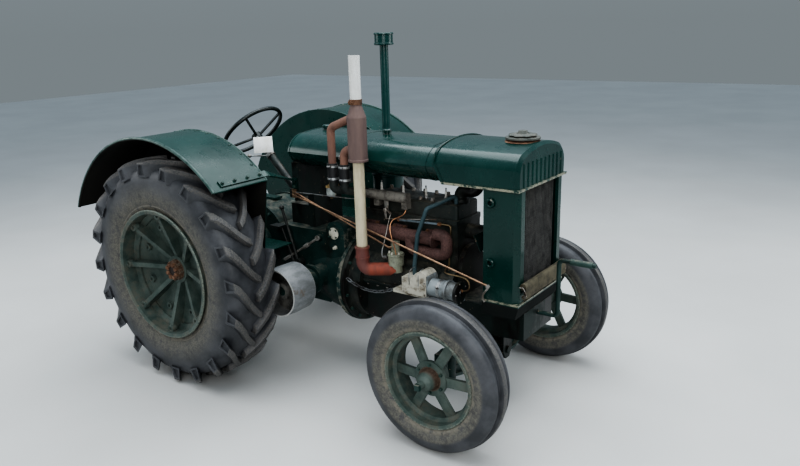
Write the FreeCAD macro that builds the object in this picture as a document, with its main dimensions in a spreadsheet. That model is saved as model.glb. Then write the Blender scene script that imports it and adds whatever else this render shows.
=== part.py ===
import FreeCAD, Part
import Sketcher
import math
import os
import re
from types import SimpleNamespace

# Farm tractor, millimetres. X forward, Y to the tractor's left, Z up, ground at Z = 0.
# Every piece is drawn from the rear axle's line (X = 0) and placed OriginX further back,
# so that the frame's origin lies under the middle of the tractor.

# Driving dimensions: name, size, what it is
SIZES = (
    ("OriginX", 690, "middle of the tractor, forward of the rear axle"),
    ("Wheelbase", 1600, "rear axle to front axle"),
    ("CrankZ", 518, "height of the crankshaft line"),
    ("RunFit", 0.05, "radial clearance of a shaft in its hole"),
    ("SeatGap", 0.3, "gap between two pieces that are bolted together"),
    ("RearTyreRadius", 635, "rear tyre to the lug tips"),
    ("RearTyreHalf", 152, "half of the rear tyre's width"),
    ("RearWheelY", 722, "centreline to the middle of a rear wheel"),
    ("LugHeight", 36, "height of a lug over the carcass"),
    ("LugHalf", 18, "half of a lug's thickness"),
    ("LugPairs", 20, "lugs on each half of a rear tyre"),
    ("RearRimRadius", 362, "rear rim flange"),
    ("RearRimHalf", 140, "half of the rear rim's width"),
    ("RimWall", 8, "thickness of a rim"),
    ("RearHubRadius", 78, "rear hub barrel"),
    ("RearRibs", 8, "ribs of a rear wheel centre"),
    ("RearRibWall", 26, "thickness of a rib"),
    ("WheelBossReach", 250, "axle's line to the bosses between the ribs"),
    ("WheelBossRadius", 21, "bosses between the ribs of a rear wheel"),
    ("WheelBossHole", 9, "hole in such a boss"),
    ("AxleRadius", 42, "rear axle shaft"),
    ("NutRadius", 58, "rear hub nut"),
    ("FrontTyreRadius", 365, "front tyre"),
    ("FrontTyreHalf", 90, "half of the front tyre's width"),
    ("FrontWheelY", 592, "centreline to the middle of a front wheel"),
    ("FrontRimRadius", 235, "front rim flange"),
    ("FrontRimHalf", 70, "half of the front rim's width"),
    ("FrontSpokes", 6, "spokes of a front wheel"),
    ("SpokeWidth", 46, "width of a front spoke"),
    ("SpokeWall", 16, "thickness of a front spoke"),
    ("SpindleRadius", 22, "front wheel spindle"),
    ("FrontHubRadius", 52, "front hub barrel"),
    ("HubFlangeRadius", 84, "front hub flange"),
    ("KingpinY", 486, "centreline to a kingpin"),
    ("KingpinRadius", 18, "kingpin"),
    ("BossRadius", 40, "front axle boss round a kingpin"),
    ("BossHalf", 60, "half of the boss's height"),
    ("BeamDrop", 92, "axle's middle below the wheel centres"),
    ("BeamEndDrop", 27, "axle's ends below the wheel centres"),
    ("BeamEndHalf", 27, "half of the beam's height at its ends"),
    ("BeamHalf", 48, "half of the beam's height in the middle"),
    ("PivotRadius", 20, "front axle's pivot pin"),
    ("BeamWidth", 60, "width of the beam along the tractor"),
    ("BeamWeb", 18, "thickness of the beam's web"),
    ("TieArm", 150, "kingpin to a tie rod ball"),
    ("DragArm", 196, "left kingpin to the drag link ball"),
    ("EyeRadius", 22, "outside of a rod eye"),
    ("BallRadius", 10, "pin in a rod eye"),
    ("TieRodRadius", 12, "tie rod"),
    ("DragRodRadius", 10, "drag link"),
    ("DropArm", 160, "steering drop arm, centre to centre"),
    ("SteerBoxX", 330, "cross shaft of the steering box"),
    ("SteerBoxZ", 850, "height of that cross shaft"),
    ("SteerTilt", 45, "slope of the steering column in degrees"),
    ("ColumnLength", 592, "steering box to the wheel's hub"),
    ("SteerWheelRadius", 213, "steering wheel rim"),
    ("SteerRimRadius", 12, "thickness radius of that rim"),
    ("SteerDish", 55, "rim above the wheel's hub"),
    ("FlangeX", 760, "bolted face between bell housing and engine"),
    ("FlangeRadius", 262, "that flange"),
    ("FlangeWall", 24, "thickness of that flange"),
    ("GearboxRear", 262, "rear end of the gearbox"),
    ("GearboxHalf", 168, "half of the gearbox's width"),
    ("GearboxTop", 792, "top of the gearbox"),
    ("GearboxBottom", 330, "bottom of the gearbox"),
    ("BlockRear", 850, "rear end of the cylinder block"),
    ("BlockFront", 1430, "front end of the cylinder block"),
    ("BlockHalf", 112, "half of the block's width at the cylinders"),
    ("CrankcaseHalf", 176, "half of the crankcase's width"),
    ("HeadBase", 940, "joint of block and head"),
    ("HeadHeight", 92, "height of the head"),
    ("LipOut", 8, "bolting lips of block and sump, out from the walls"),
    ("LipHeight", 10, "height of such a lip"),
    ("PlugRadius", 24, "core plugs in the block's sides"),
    ("TimingDepth", 24, "thickness of the timing case"),
    ("PumpX", 672, "housing on the bell housing's shoulder"),
    ("PumpZ", 800, "height of that housing's round cover"),
    ("PumpOut", 178, "centreline to its right face"),
    ("PumpRadius", 66, "round end of that housing"),
    ("PumpCover", 36, "round cover on it"),
    ("SumpFloor", 330, "underside of the sump"),
    ("SumpTop", 560, "joint of sump and block"),
    ("RadiatorRear", 1650, "rear of the radiator castings"),
    ("RadiatorFront", 1832, "front of the radiator castings"),
    ("RadiatorHalf", 242, "half of the radiator's width"),
    ("RadiatorBase", 633, "underside of the radiator sides"),
    ("HeaderLift", 140, "top of the head to the joint of radiator and header tank"),
    ("HeaderRear", 1385, "rear end of the header tank"),
    ("HeaderSlope", 45, "run of the header's slanted rear corner"),
    ("HeaderHeight", 194, "height of the header tank"),
    ("HeaderHalf", 250, "half of the header tank's width"),
    ("SideWall", 62, "width of a radiator side casting"),
    ("HeaderLip", 8, "header tank's lower lip, out from its sides"),
    ("HeaderLipHeight", 10, "height of that lip"),
    ("HeaderRibs", 10, "ribs across the front of the header tank"),
    ("HeaderRibRadius", 5, "radius of such a rib"),
    ("HeaderRibSpan", 396, "first of these ribs to the last"),
    ("SideBossHole", 11, "hole in a boss of the radiator's side"),
    ("TankRear", 372, "rear end of the fuel tank"),
    ("DashX", 428, "rear face of the dash casting"),
    ("DashThick", 46, "thickness of the dash casting"),
    ("DashHalf", 236, "half of the dash panel's width"),
    ("TankHalf", 246, "half of the fuel tank's width"),
    ("TankLift", 118, "top of the head to the underside of the fuel tank"),
    ("TankHeight", 196, "height of the fuel tank"),
    ("TankCapX", 500, "fuel filler cap, forward of the rear axle"),
    ("SmallCapX", 923, "second filler cap, forward of the rear axle"),
    ("TankCapRadius", 30, "fuel filler caps"),
    ("BowlX", 636, "fuel bowl under the tank"),
    ("BowlY", 150, "centreline to the fuel bowl"),
    ("BowlRadius", 28, "fuel bowl"),
    ("BowlDrop", 88, "tank's underside to the top of the bowl"),
    ("CapRadius", 83, "radiator filler cap"),
    ("CapX", 1724, "filler cap, forward of the rear axle"),
    ("PulleyX", 574, "belt pulley, forward of the rear axle"),
    ("PulleyZ", 545, "belt pulley's height"),
    ("PulleyRadius", 131, "belt pulley drum"),
    ("PulleyOuter", 562, "centreline to the pulley's open face"),
    ("PulleyWidth", 166, "width of the drum"),
    ("PulleyWall", 8, "thickness of the drum"),
    ("PulleyCrown", 3, "crown of the drum's face"),
    ("PulleyShaft", 24, "radius of the pulley's shaft"),
    ("FanX", 1560, "fan, forward of the rear axle"),
    ("FanZ", 880, "fan's height"),
    ("FanRadius", 190, "fan blade tips"),
    ("FanBlades", 4, "blades of the fan"),
    ("WingRadius", 745, "wing, from the rear axle's line"),
    ("WingInner", 530, "centreline to a wing's inner plate"),
    ("WingOuter", 880, "centreline to a wing's outer edge"),
    ("WingSheet", 4, "thickness of a wing"),
    ("WingBead", 9, "radius of the rolled bead"),
    ("WingLine", 46, "outer bead to the pressed line beside it"),
    ("WingLineRadius", 5, "radius of that line and of the inner bead"),
    ("WingFront", 44, "angle of the wing's front end over the axle"),
    ("WingRear", 156, "angle of the wing's rear end"),
    ("TrumpetRadius", 92, "rear axle tube"),
    ("TrumpetFlare", 86, "length of the cone from side cover to axle tube"),
    ("WormRadius", 252, "round housing of the final drive"),
    ("PlateThick", 6, "footplate"),
    ("PlateGap", 112, "gearbox's side to a footplate"),
    ("PlateFront", 430, "front edge of the footplate"),
    ("PlateRear", -190, "rear edge of the footplate"),
    ("SeatX", -420, "middle of the seat"),
    ("SeatZ", 960, "lowest point of the seat pan"),
    ("SeatRadius", 215, "seat pan"),
    ("DrawbarEnd", 735, "rear end of the drawbar behind the rear axle"),
    ("DrawbarZ", 392, "underside of the drawbar"),
    ("DrawbarThick", 26, "thickness of the drawbar"),
    ("DrawbarWidth", 84, "width of the drawbar"),
    ("DrawbarPin", 14, "radius of the drawbar's pin hole"),
    ("StackX", 963, "upright pipe beside the engine"),
    ("StackY", 300, "centreline to that pipe"),
    ("StackPipe", 29, "radius of the pipe"),
    ("SilencerRadius", 49, "silencer"),
    ("SilencerLift", 25, "top of the rubber sleeves to the silencer"),
    ("SilencerLength", 280, "length of the silencer"),
    ("TailLength", 238, "silencer to the top of the pipe"),
    ("TailRadius", 28, "tail pipe"),
    ("SideTubeRadius", 21, "tubes beside the silencer"),
    ("HoseLift", 100, "top of the head to the rubber sleeves"),
    ("HoseLength", 93, "length of the rubber sleeves"),
    ("ElbowTop", 800, "top of the elbow"),
    ("ElbowZ", 690, "height of the elbow's level arm"),
    ("ElbowRadius", 35, "elbow"),
    ("CarbX", 1110, "carburettor bowl"),
    ("CarbY", 205, "centreline to the carburettor"),
    ("CarbRadius", 42, "carburettor bowl"),
    ("MouthRadius", 34, "carburettor mouth"),
    ("ManifoldZ", 858, "height of the manifold's log"),
    ("ManifoldRadius", 34, "manifold's log"),
    ("ManifoldOut", 52, "cylinder block to the manifold's middle"),
    ("WasherX", 700, "air washer"),
    ("WasherY", 290, "centreline to the air washer"),
    ("WasherRadius", 92, "air washer"),
    ("WasherBase", 760, "underside of the air washer"),
    ("WasherGap", 30, "air washer below the fuel tank's underside"),
    ("IntakeRadius", 24, "intake pipe"),
    ("IntakeCapRadius", 56, "cap of the intake pipe"),
    ("IntakeTop", 1866, "top of the intake cap"),
    ("IntakeCapHeight", 68, "height of the intake cap"),
    ("MagnetoX", 1275, "middle of the magneto"),
    ("MagnetoY", 235, "centreline to the magneto shaft"),
    ("MagnetoZ", 632, "height of the magneto shaft"),
    ("DriveRadius", 46, "drive housing"),
    ("HandleReach", 2110, "front end of the starting handle"),
    ("HandleRadius", 11, "bar of the starting handle"),
    ("HandleArmX", 1928, "arm of the starting handle"),
    ("HandleGripZ", 806, "height of the grip"),
    ("RodRadius", 5, "control rods"),
    ("ChainLinks", 13, "links of the hanging chain"),
)

# Heights that stand on another, and how each is worked out
DERIVED = {
    "HeadTop": "HeadBase + HeadHeight",
    "TankBase": "HeadTop + TankLift",
    "TankTop": "TankBase + TankHeight",
    "HeaderBase": "HeadTop + HeaderLift",
    "CrownZ": "HeaderBase + HeaderHeight",
    "WasherTop": "TankBase - WasherGap",
    "HoseBase": "HeadTop + HoseLift",
    "HoseTop": "HoseBase + HoseLength",
    "SilencerBase": "HoseTop + SilencerLift",
    "SilencerTop": "SilencerBase + SilencerLength",
    "StackTop": "SilencerTop + TailLength",
}

doc = FreeCAD.newDocument("Tractor")
sheet = doc.addObject("Spreadsheet::Sheet", "Dims")
for row, (alias, number, note) in enumerate(SIZES, 1):
    sheet.set(f"A{row}", note)
    sheet.set(f"B{row}", str(number))
    sheet.setAlias(f"B{row}", alias)
doc.recompute()

ALIASES = {alias for alias, number, note in SIZES}
WORD = re.compile(r"[A-Za-z]\w*")
sub_parts = []


def spell(match):
    word = match.group()
    if word in DERIVED:
        return f"({bind(DERIVED[word])})"
    return "Dims." + word if word in ALIASES else word


def bind(text):
    """An expression of the sheet's names, as the document writes it."""
    return WORD.sub(spell, str(text))


def value(text):
    return float(sheet.evalExpression(bind(text)))


d = SimpleNamespace(**{name: value(name) for name in ALIASES | set(DERIVED)})


def keep(part, label, x="0", y="0", z="0"):
    """Name a finished piece and place it from the rear axle's line."""
    part.Label = label
    part.setExpression("Placement.Base.x", bind(f"{x} - OriginX"))
    part.setExpression("Placement.Base.y", bind(y))
    part.setExpression("Placement.Base.z", bind(z))
    sub_parts.append(part)
    return part


# Sketches and features


def new_body(name):
    return doc.addObject("PartDesign::Body", name)


def sketch_on(body, plane, offset="0"):
    sketch = body.newObject("Sketcher::SketchObject", "Sketch")
    support = next(item for item in body.Origin.OriginFeatures if item.Role == plane)
    sketch.AttachmentSupport = [(support, "")]
    sketch.MapMode = "FlatFace"
    sketch.setExpression("AttachmentOffset.Base.z", bind(offset))
    return sketch


def hold(sketch, geometry, vertex, x, y):
    for kind, text in (("DistanceX", x), ("DistanceY", y)):
        index = sketch.addConstraint(Sketcher.Constraint(kind, -1, 1, geometry, vertex, value(text)))
        sketch.setExpression(f"Constraints[{index}]", bind(text))


def draw_polygon(sketch, points):
    first = sketch.GeometryCount
    corners = [FreeCAD.Vector(value(x), value(y)) for x, y in points]
    count = len(corners)
    for i in range(count):
        sketch.addGeometry(Part.LineSegment(corners[i], corners[(i + 1) % count]), False)
    for i in range(count):
        sketch.addConstraint(Sketcher.Constraint("Coincident", first + i, 2, first + (i + 1) % count, 1))
    for i, (x, y) in enumerate(points):
        hold(sketch, first + i, 1, x, y)


def draw_circle(sketch, x, y, radius):
    centre = FreeCAD.Vector(value(x), value(y))
    index = sketch.addGeometry(Part.Circle(centre, FreeCAD.Vector(0, 0, 1), value(radius)), False)
    hold(sketch, index, 3, x, y)
    size = sketch.addConstraint(Sketcher.Constraint("Radius", index, value(radius)))
    sketch.setExpression(f"Constraints[{size}]", bind(radius))


def pad(body, sketch, length, both=False, back=False):
    feature = body.newObject("PartDesign::Pad", "Pad")
    feature.Profile = sketch
    feature.setExpression("Length", bind(length))
    feature.SideType = "Symmetric" if both else "One side"
    feature.Reversed = back
    return feature


def cut(body, sketch, length, both=False, back=False):
    """A pocket, which has to take something away."""
    doc.recompute()
    before = body.Shape.Volume
    feature = body.newObject("PartDesign::Pocket", "Pocket")
    feature.Profile = sketch
    feature.setExpression("Length", bind(length))
    feature.SideType = "Symmetric" if both else "One side"
    feature.Reversed = back
    doc.recompute()
    if not body.Shape.Volume < before - 1:
        raise RuntimeError(f"a pocket of {body.Name} takes nothing away")
    return feature


def revolve(body, sketch, axis="V_Axis"):
    feature = body.newObject("PartDesign::Revolution", "Revolution")
    feature.Profile = sketch
    feature.ReferenceAxis = (sketch, [axis])
    feature.Angle = 360
    return feature


def round_edges(body, radius, wanted):
    """Fillet the edges for which wanted(edge) is true."""
    doc.recompute()
    base = body.Tip
    names = [f"Edge{i}" for i, edge in enumerate(base.Shape.Edges, 1) if wanted(edge)]
    feature = body.newObject("PartDesign::Fillet", "Fillet")
    feature.Base = (base, names)
    feature.setExpression("Radius", bind(radius))
    return feature


def around(body, features, axis, count):
    """Repeat features evenly round one of the body's own axes."""
    doc.recompute()
    pattern = body.newObject("PartDesign::PolarPattern", "PolarPattern")
    pattern.Originals = features
    line = next(item for item in body.Origin.OriginFeatures if item.Role == axis)
    pattern.Axis = (line, [""])
    pattern.Angle = 360
    pattern.setExpression("Occurrences", bind(count))
    body.Tip = pattern
    return pattern


def runs_along(edge, axis):
    """Whether a straight edge runs along the axis "x", "y" or "z"."""
    if not isinstance(edge.Curve, Part.Line):
        return False
    direction = edge.Curve.Direction
    return abs(getattr(direction, axis)) > 0.999


# Primitives, with sizes and places as expressions

TURNS = {
    "z": FreeCAD.Rotation(),
    "x": FreeCAD.Rotation(FreeCAD.Vector(0, 1, 0), 90),
    "y": FreeCAD.Rotation(FreeCAD.Vector(1, 0, 0), -90),
}


def primitive(kind, at, turn="z", **sizes):
    item = doc.addObject("Part::" + kind, kind)
    for name, text in sizes.items():
        item.setExpression(name, bind(text))
    item.Placement = FreeCAD.Placement(FreeCAD.Vector(), TURNS[turn])
    for name, text in zip("xyz", at):
        item.setExpression("Placement.Base." + name, bind(text))
    return item


def rod(at, turn, radius, length):
    return primitive("Cylinder", at, turn, Radius=radius, Height=length)


def block(at, length, width, height):
    return primitive("Box", at, Length=length, Width=width, Height=height)


def fuse(name, *items):
    joined = doc.addObject("Part::MultiFuse", name)
    joined.Shapes = list(items)
    joined.Refine = True
    return joined


def subtract(name, base, tool):
    result = doc.addObject("Part::Cut", name)
    result.Base = base
    result.Tool = tool
    return result


# Exact shapes for what sketches and primitives don't fit


def shape_item(name, shape):
    item = doc.addObject("Part::Feature", name)
    item.Shape = shape
    return item


def point(x, y, z):
    return FreeCAD.Vector(x, y, z)


def outline(points, to_space):
    """A closed wire: a point with a third entry is the middle of an arc between its neighbours."""
    corners = [to_space(*entry[:2]) for entry in points]
    edges = []
    count = len(points)
    for i in range(count):
        here = points[i]
        after = points[(i + 1) % count]
        if len(here) == 3:
            continue
        if len(after) == 3:
            edges.append(Part.Arc(corners[i], corners[(i + 1) % count], corners[(i + 2) % count]).toShape())
        else:
            edges.append(Part.LineSegment(corners[i], corners[(i + 1) % count]).toShape())
    return Part.Wire(edges)


def turned(points, side=1):
    """A ring round the Y axis from (radius, outward distance) points."""
    face = Part.Face(outline(points, lambda radius, out: point(radius, side * out, 0)))
    return face.revolve(point(0, 0, 0), point(0, 1, 0), 360)


def turned_up(points, x, y):
    """A ring round the upright line at x, y from (radius, height) points."""
    face = Part.Face(outline(points, lambda radius, z: point(x + radius, y, z)))
    return face.revolve(point(x, y, 0), point(0, 0, 1), 360)


def pipe(points, radius, bend):
    """A solid round bar: straight runs through the points, joined by parts of a torus."""
    corners = [point(*entry) for entry in points]
    runs = []
    start = corners[0]
    for before, corner, after in zip(corners, corners[1:], corners[2:]):
        back = (before - corner).normalize()
        forth = (after - corner).normalize()
        turn = math.pi - back.getAngle(forth)
        reach = bend * math.tan(turn / 2)
        enter = corner + back * reach
        hub = corner + (back + forth).normalize() * (bend / math.cos(turn / 2))
        runs.append(Part.makeCylinder(radius, (enter - start).Length, start, back * -1))
        section = Part.Face(Part.Wire([Part.Circle(enter, back, radius).toShape()]))
        runs.append(section.revolve(hub, back.cross(enter - hub), math.degrees(turn)))
        start = corner + forth * reach
    runs.append(Part.makeCylinder(radius, (corners[-1] - start).Length, start, corners[-1] - start))
    return joined(runs)


def joined(shapes):
    return shapes[0].multiFuse(shapes[1:]).removeSplitter() if len(shapes) > 1 else shapes[0]


# Rear wheels


def rear_tyre(side):
    crown = d.RearTyreRadius - d.LugHeight
    bead = d.RearRimRadius - 14
    half = d.RearTyreHalf
    carcass = turned((
        (bead, -0.8 * half),
        (bead, 0.8 * half),
        (d.RearRimRadius + 22, 0.9 * half),
        (0.5 * (bead + crown), half, "arc"),
        (crown - 42, 0.9 * half),
        (crown - 22, 0.8 * half),
        (crown, 0, "arc"),
        (crown - 22, -0.8 * half),
        (crown - 42, -0.9 * half),
        (0.5 * (bead + crown), -half, "arc"),
        (d.RearRimRadius + 22, -0.9 * half),
    ), side)
    # Sections of one lug: share of the half width, angle behind its tip, foot, top, share of its thickness
    sections = (
        (-0.08, 0.0, crown - 8, d.RearTyreRadius, 0.8),
        (0.45, 8.0, crown - 12, d.RearTyreRadius, 0.9),
        (0.9, 17.5, crown - 34, d.RearTyreRadius - 12, 1.2),
        (0.985, 19.5, crown - 110, crown - 80, 1.0),
    )
    pitch = 360 / d.LugPairs
    lugs = []
    for flank in (-1, 1):
        rings = []
        for share, lag, foot, top, thickness in sections:
            angle = math.radians(flank * pitch / 4 - lag)
            along = point(math.sin(angle), 0, math.cos(angle))
            across = point(math.cos(angle), 0, -math.sin(angle)) * (thickness * d.LugHalf)
            level = point(0, flank * share * half, 0)
            rings.append(Part.makePolygon([
                along * foot - across + level,
                along * foot + across + level,
                along * top + across * 0.8 + level,
                along * top - across * 0.8 + level,
                along * foot - across + level,
            ]))
        lug = Part.makeLoft(rings, True, True)
        for i in range(int(d.LugPairs)):
            copy = lug.copy()
            copy.rotate(point(0, 0, 0), point(0, 1, 0), i * pitch)
            lugs.append(copy)
    return carcass.multiFuse(lugs)


def rear_wheel(side, name):
    """Rim, dished centre, ribs, hub and the lobed nut on the axle's end."""
    body = new_body(name)
    rim = sketch_on(body, "XY_Plane")
    draw_polygon(rim, [(r, f"{side} * ({out})") for r, out in (
        ("RearRimRadius", "RearRimHalf"),
        ("RearRimRadius - 5", "RearRimHalf + 6"),
        ("RearRimRadius - 24", "RearRimHalf"),
        ("RearRimRadius - 26", "70"),
        ("RearRimRadius - 54", "56"),
        ("RearRimRadius - 54", "-56"),
        ("RearRimRadius - 26", "-70"),
        ("RearRimRadius - 24", "-RearRimHalf"),
        ("RearRimRadius - 5", "-RearRimHalf - 6"),
        ("RearRimRadius", "-RearRimHalf"),
        ("RearRimRadius - 15", "-RearRimHalf + 8"),
        ("RearRimRadius - 15", "-64"),
        ("RearRimRadius - 44", "-48"),
        ("RearRimRadius - 44", "48"),
        ("RearRimRadius - 15", "64"),
        ("RearRimRadius - 15", "RearRimHalf - 8"),
    )])
    revolve(body, rim)
    disc = sketch_on(body, "XY_Plane")
    draw_polygon(disc, [(r, f"{side} * ({out})") for r, out in (
        ("AxleRadius + RunFit", "30"),
        ("RearHubRadius", "30"),
        ("RearHubRadius", "-6"),
        ("200", "14"),
        ("RearRimRadius - 60", "46"),
        ("RearRimRadius - 50", "46"),
        ("RearRimRadius - 50", "30"),
        ("RearRimRadius - 66", "28"),
        ("200", "-6"),
        ("RearHubRadius", "-30"),
        ("RearHubRadius", "-92"),
        ("AxleRadius + RunFit", "-92"),
    )])
    revolve(body, disc)
    rib = sketch_on(body, "XY_Plane")
    draw_polygon(rib, [(r, f"{side} * ({out})") for r, out in (
        ("RearHubRadius - 6", "24"),
        ("RearRimRadius - 50", "112"),
        ("RearRimRadius - 22", "112"),
        ("RearRimRadius - 22", "78"),
        ("RearRimRadius - 48", "72"),
        ("RearRimRadius - 52", "34"),
        ("RearHubRadius - 6", "-20"),
    )])
    ribs = pad(body, rib, "RearRibWall", both=True)
    around(body, [ribs], "Y_Axis", "RearRibs")
    barrel = sketch_on(body, "XZ_Plane", f"{-side} * 28")
    draw_circle(barrel, "0", "0", "NutRadius - 10")
    pad(body, barrel, "36", back=side > 0)
    boss = sketch_on(body, "XZ_Plane", f"{-side} * 22")
    between = "180 / RearRibs"
    for radius in ("WheelBossRadius", "WheelBossHole"):
        draw_circle(boss, f"WheelBossReach * cos({between})", f"WheelBossReach * sin({between})", radius)
    bosses = pad(body, boss, "22", back=side > 0)
    around(body, [bosses], "Y_Axis", "RearRibs")
    lobe = sketch_on(body, "XZ_Plane", f"{-side} * 28")
    draw_circle(lobe, "NutRadius - 12", "0", "13")
    lobes = pad(body, lobe, "26", back=side > 0)
    around(body, [lobes], "Y_Axis", "8")
    return body


for side, hand in ((-1, "right"), (1, "left")):
    tyre = shape_item("rear_tyre", rear_tyre(side))
    keep(tyre, f"rear_tyre_{hand}", "0", f"{side} * RearWheelY", "RearTyreRadius")
    wheel = rear_wheel(side, f"rear_wheel_{hand}")
    keep(wheel, f"rear_wheel_{hand}", "0", f"{side} * RearWheelY", "RearTyreRadius")


# Front wheels and their steering


def front_tyre(side):
    top = d.FrontTyreRadius
    bead = d.FrontRimRadius - 12
    half = d.FrontTyreHalf
    return turned((
        (bead, -0.66 * half),
        (bead, 0.66 * half),
        (d.FrontRimRadius + 14, 0.86 * half),
        (0.5 * (bead + top), half, "arc"),
        (top - 30, 0.84 * half),
        (top - 12, 0.62 * half),
        (top - 16, 0.5 * half),
        (top - 22, 0.46 * half),
        (top - 22, 0.24 * half),
        (top, 0.18 * half),
        (top, -0.18 * half),
        (top - 22, -0.24 * half),
        (top - 22, -0.46 * half),
        (top - 16, -0.5 * half),
        (top - 12, -0.62 * half),
        (top - 30, -0.84 * half),
        (0.5 * (bead + top), -half, "arc"),
        (d.FrontRimRadius + 14, -0.86 * half),
    ), side)


def front_wheel(side, name):
    """Rim, flat spokes, hub flange and domed cap."""
    body = new_body(name)
    rim = sketch_on(body, "XY_Plane")
    draw_polygon(rim, [(r, f"{side} * ({out})") for r, out in (
        ("FrontRimRadius", "FrontRimHalf"),
        ("FrontRimRadius - 4", "FrontRimHalf + 5"),
        ("FrontRimRadius - 20", "FrontRimHalf"),
        ("FrontRimRadius - 22", "38"),
        ("FrontRimRadius - 40", "28"),
        ("FrontRimRadius - 40", "-28"),
        ("FrontRimRadius - 22", "-38"),
        ("FrontRimRadius - 20", "-FrontRimHalf"),
        ("FrontRimRadius - 4", "-FrontRimHalf - 5"),
        ("FrontRimRadius", "-FrontRimHalf"),
        ("FrontRimRadius - 13", "-FrontRimHalf + 6"),
        ("FrontRimRadius - 13", "-34"),
        ("FrontRimRadius - 32", "-22"),
        ("FrontRimRadius - 32", "22"),
        ("FrontRimRadius - 13", "34"),
        ("FrontRimRadius - 13", "FrontRimHalf - 6"),
    )])
    revolve(body, rim)
    hub = sketch_on(body, "XY_Plane")
    draw_polygon(hub, [(r, f"{side} * ({out})") for r, out in (
        ("SpindleRadius + RunFit", "-38"),
        ("FrontHubRadius", "-38"),
        ("FrontHubRadius", "22"),
        ("HubFlangeRadius", "22"),
        ("HubFlangeRadius", "40"),
        ("FrontHubRadius + 2", "44"),
        ("FrontHubRadius - 4", "66"),
        ("38", "92"),
        ("20", "108"),
        ("20", "138"),
        ("0", "138"),
        ("0", "104"),
        ("SpindleRadius + 8", "90"),
        ("SpindleRadius + 8", "52"),
        ("SpindleRadius + RunFit", "46"),
    )])
    revolve(body, hub)
    spoke = sketch_on(body, "XY_Plane")
    draw_polygon(spoke, [(r, f"{side} * ({out})") for r, out in (
        ("FrontHubRadius - 4", "22 + SpokeWall"),
        ("FrontHubRadius - 4", "22"),
        ("FrontRimRadius - 34", "6"),
        ("FrontRimRadius - 34", "6 + SpokeWall"),
    )])
    spokes = pad(body, spoke, "SpokeWidth", both=True)
    around(body, [spokes], "Y_Axis", "FrontSpokes")
    return body


def knuckle(side, name):
    """Yoke round the axle boss with kingpin, spindle and steering arms."""
    kingpin = f"{side} * KingpinY"
    ear_low = "-BossHalf - SeatGap - 18"
    ear_high = "BossHalf + SeatGap"
    pin_top = "2 * BossHalf + 2 * SeatGap + 36"
    pieces = [
        rod(("0", "0", ear_low), "z", "KingpinRadius", pin_top),
        rod(("0", "0", ear_low), "z", "BossRadius - 4", "18"),
        rod(("0", "0", ear_high), "z", "BossRadius - 4", "18"),
        block(("-BossRadius + 8", f"{side} * 53 - 7", ear_low), "2 * BossRadius - 16", "14", pin_top),
        rod(("0", f"{side} * 120 - 70", "0"), "y", "SpindleRadius", "140"),
    ]
    for level in (ear_low, ear_high):
        pieces.append(block(("-BossRadius + 8", f"{side} * 28 - 28", level), "2 * BossRadius - 16", "56", "18"))
    pieces.append(block(("-TieArm", "-14", ear_low), "TieArm", "28", "18"))
    pieces.append(rod(("-TieArm", "0", ear_low), "z", "EyeRadius - 4", "18"))
    pieces.append(rod(("-TieArm", "0", ear_low + " - 30"), "z", "BallRadius", "40"))
    if side > 0:
        pieces.append(block(("-14", "-DragArm", ear_high), "28", "DragArm", "18"))
        pieces.append(rod(("0", "-DragArm", ear_high), "z", "EyeRadius - 4", "18"))
        pieces.append(rod(("0", "-DragArm", ear_high), "z", "BallRadius", "52"))
    return fuse(name, *pieces)


for side, hand in ((-1, "right"), (1, "left")):
    tyre = shape_item("front_tyre", front_tyre(side))
    keep(tyre, f"front_tyre_{hand}", "Wheelbase", f"{side} * FrontWheelY", "FrontTyreRadius")
    wheel = front_wheel(side, f"front_wheel_{hand}")
    keep(wheel, f"front_wheel_{hand}", "Wheelbase", f"{side} * FrontWheelY", "FrontTyreRadius")
    piece = knuckle(side, f"knuckle_{hand}")
    keep(piece, f"knuckle_{hand}", "Wheelbase", f"{side} * KingpinY", "FrontTyreRadius")


def front_axle():
    """Dropped beam of I section with a boss at each end and a pivot boss in the middle."""
    body = new_body("front_axle")
    # Stations along the beam: distance from the middle, level of its centre, half of its height
    stations = (
        ("-(KingpinY - 24)", "-BeamEndDrop", "BeamEndHalf"),
        ("-150", "-BeamDrop", "BeamHalf"),
        ("150", "-BeamDrop", "BeamHalf"),
        ("KingpinY - 24", "-BeamEndDrop", "BeamEndHalf"),
    )
    web = sketch_on(body, "YZ_Plane")
    draw_polygon(web, [(y, f"{level} + {half}") for y, level, half in stations]
                 + [(y, f"{level} - {half}") for y, level, half in reversed(stations)])
    pad(body, web, "BeamWeb", both=True)
    for sign in ("+", "-"):
        flange = sketch_on(body, "YZ_Plane")
        draw_polygon(flange, [(y, f"{level} {sign} {half}") for y, level, half in stations]
                     + [(y, f"{level} {sign} ({half} - 14)") for y, level, half in reversed(stations)])
        pad(body, flange, "BeamWidth", both=True)
    for side in (-1, 1):
        boss = sketch_on(body, "XY_Plane", "-BossHalf")
        draw_circle(boss, "0", f"{side} * KingpinY", "BossRadius")
        pad(body, boss, "2 * BossHalf")
        bore = sketch_on(body, "XY_Plane", "BossHalf")
        draw_circle(bore, "0", f"{side} * KingpinY", "KingpinRadius + RunFit")
        cut(body, bore, "2 * BossHalf")
    middle = sketch_on(body, "YZ_Plane")
    draw_circle(middle, "0", "-BeamDrop", "BeamHalf + 6")
    pad(body, middle, "BeamWidth + 20", both=True)
    pivot = sketch_on(body, "YZ_Plane", "BeamWidth / 2 + 11")
    draw_circle(pivot, "0", "-BeamDrop", "PivotRadius + SeatGap")
    cut(body, pivot, "BeamWidth + 22")
    return body


keep(front_axle(), "front_axle", "Wheelbase", "0", "FrontTyreRadius")


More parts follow.
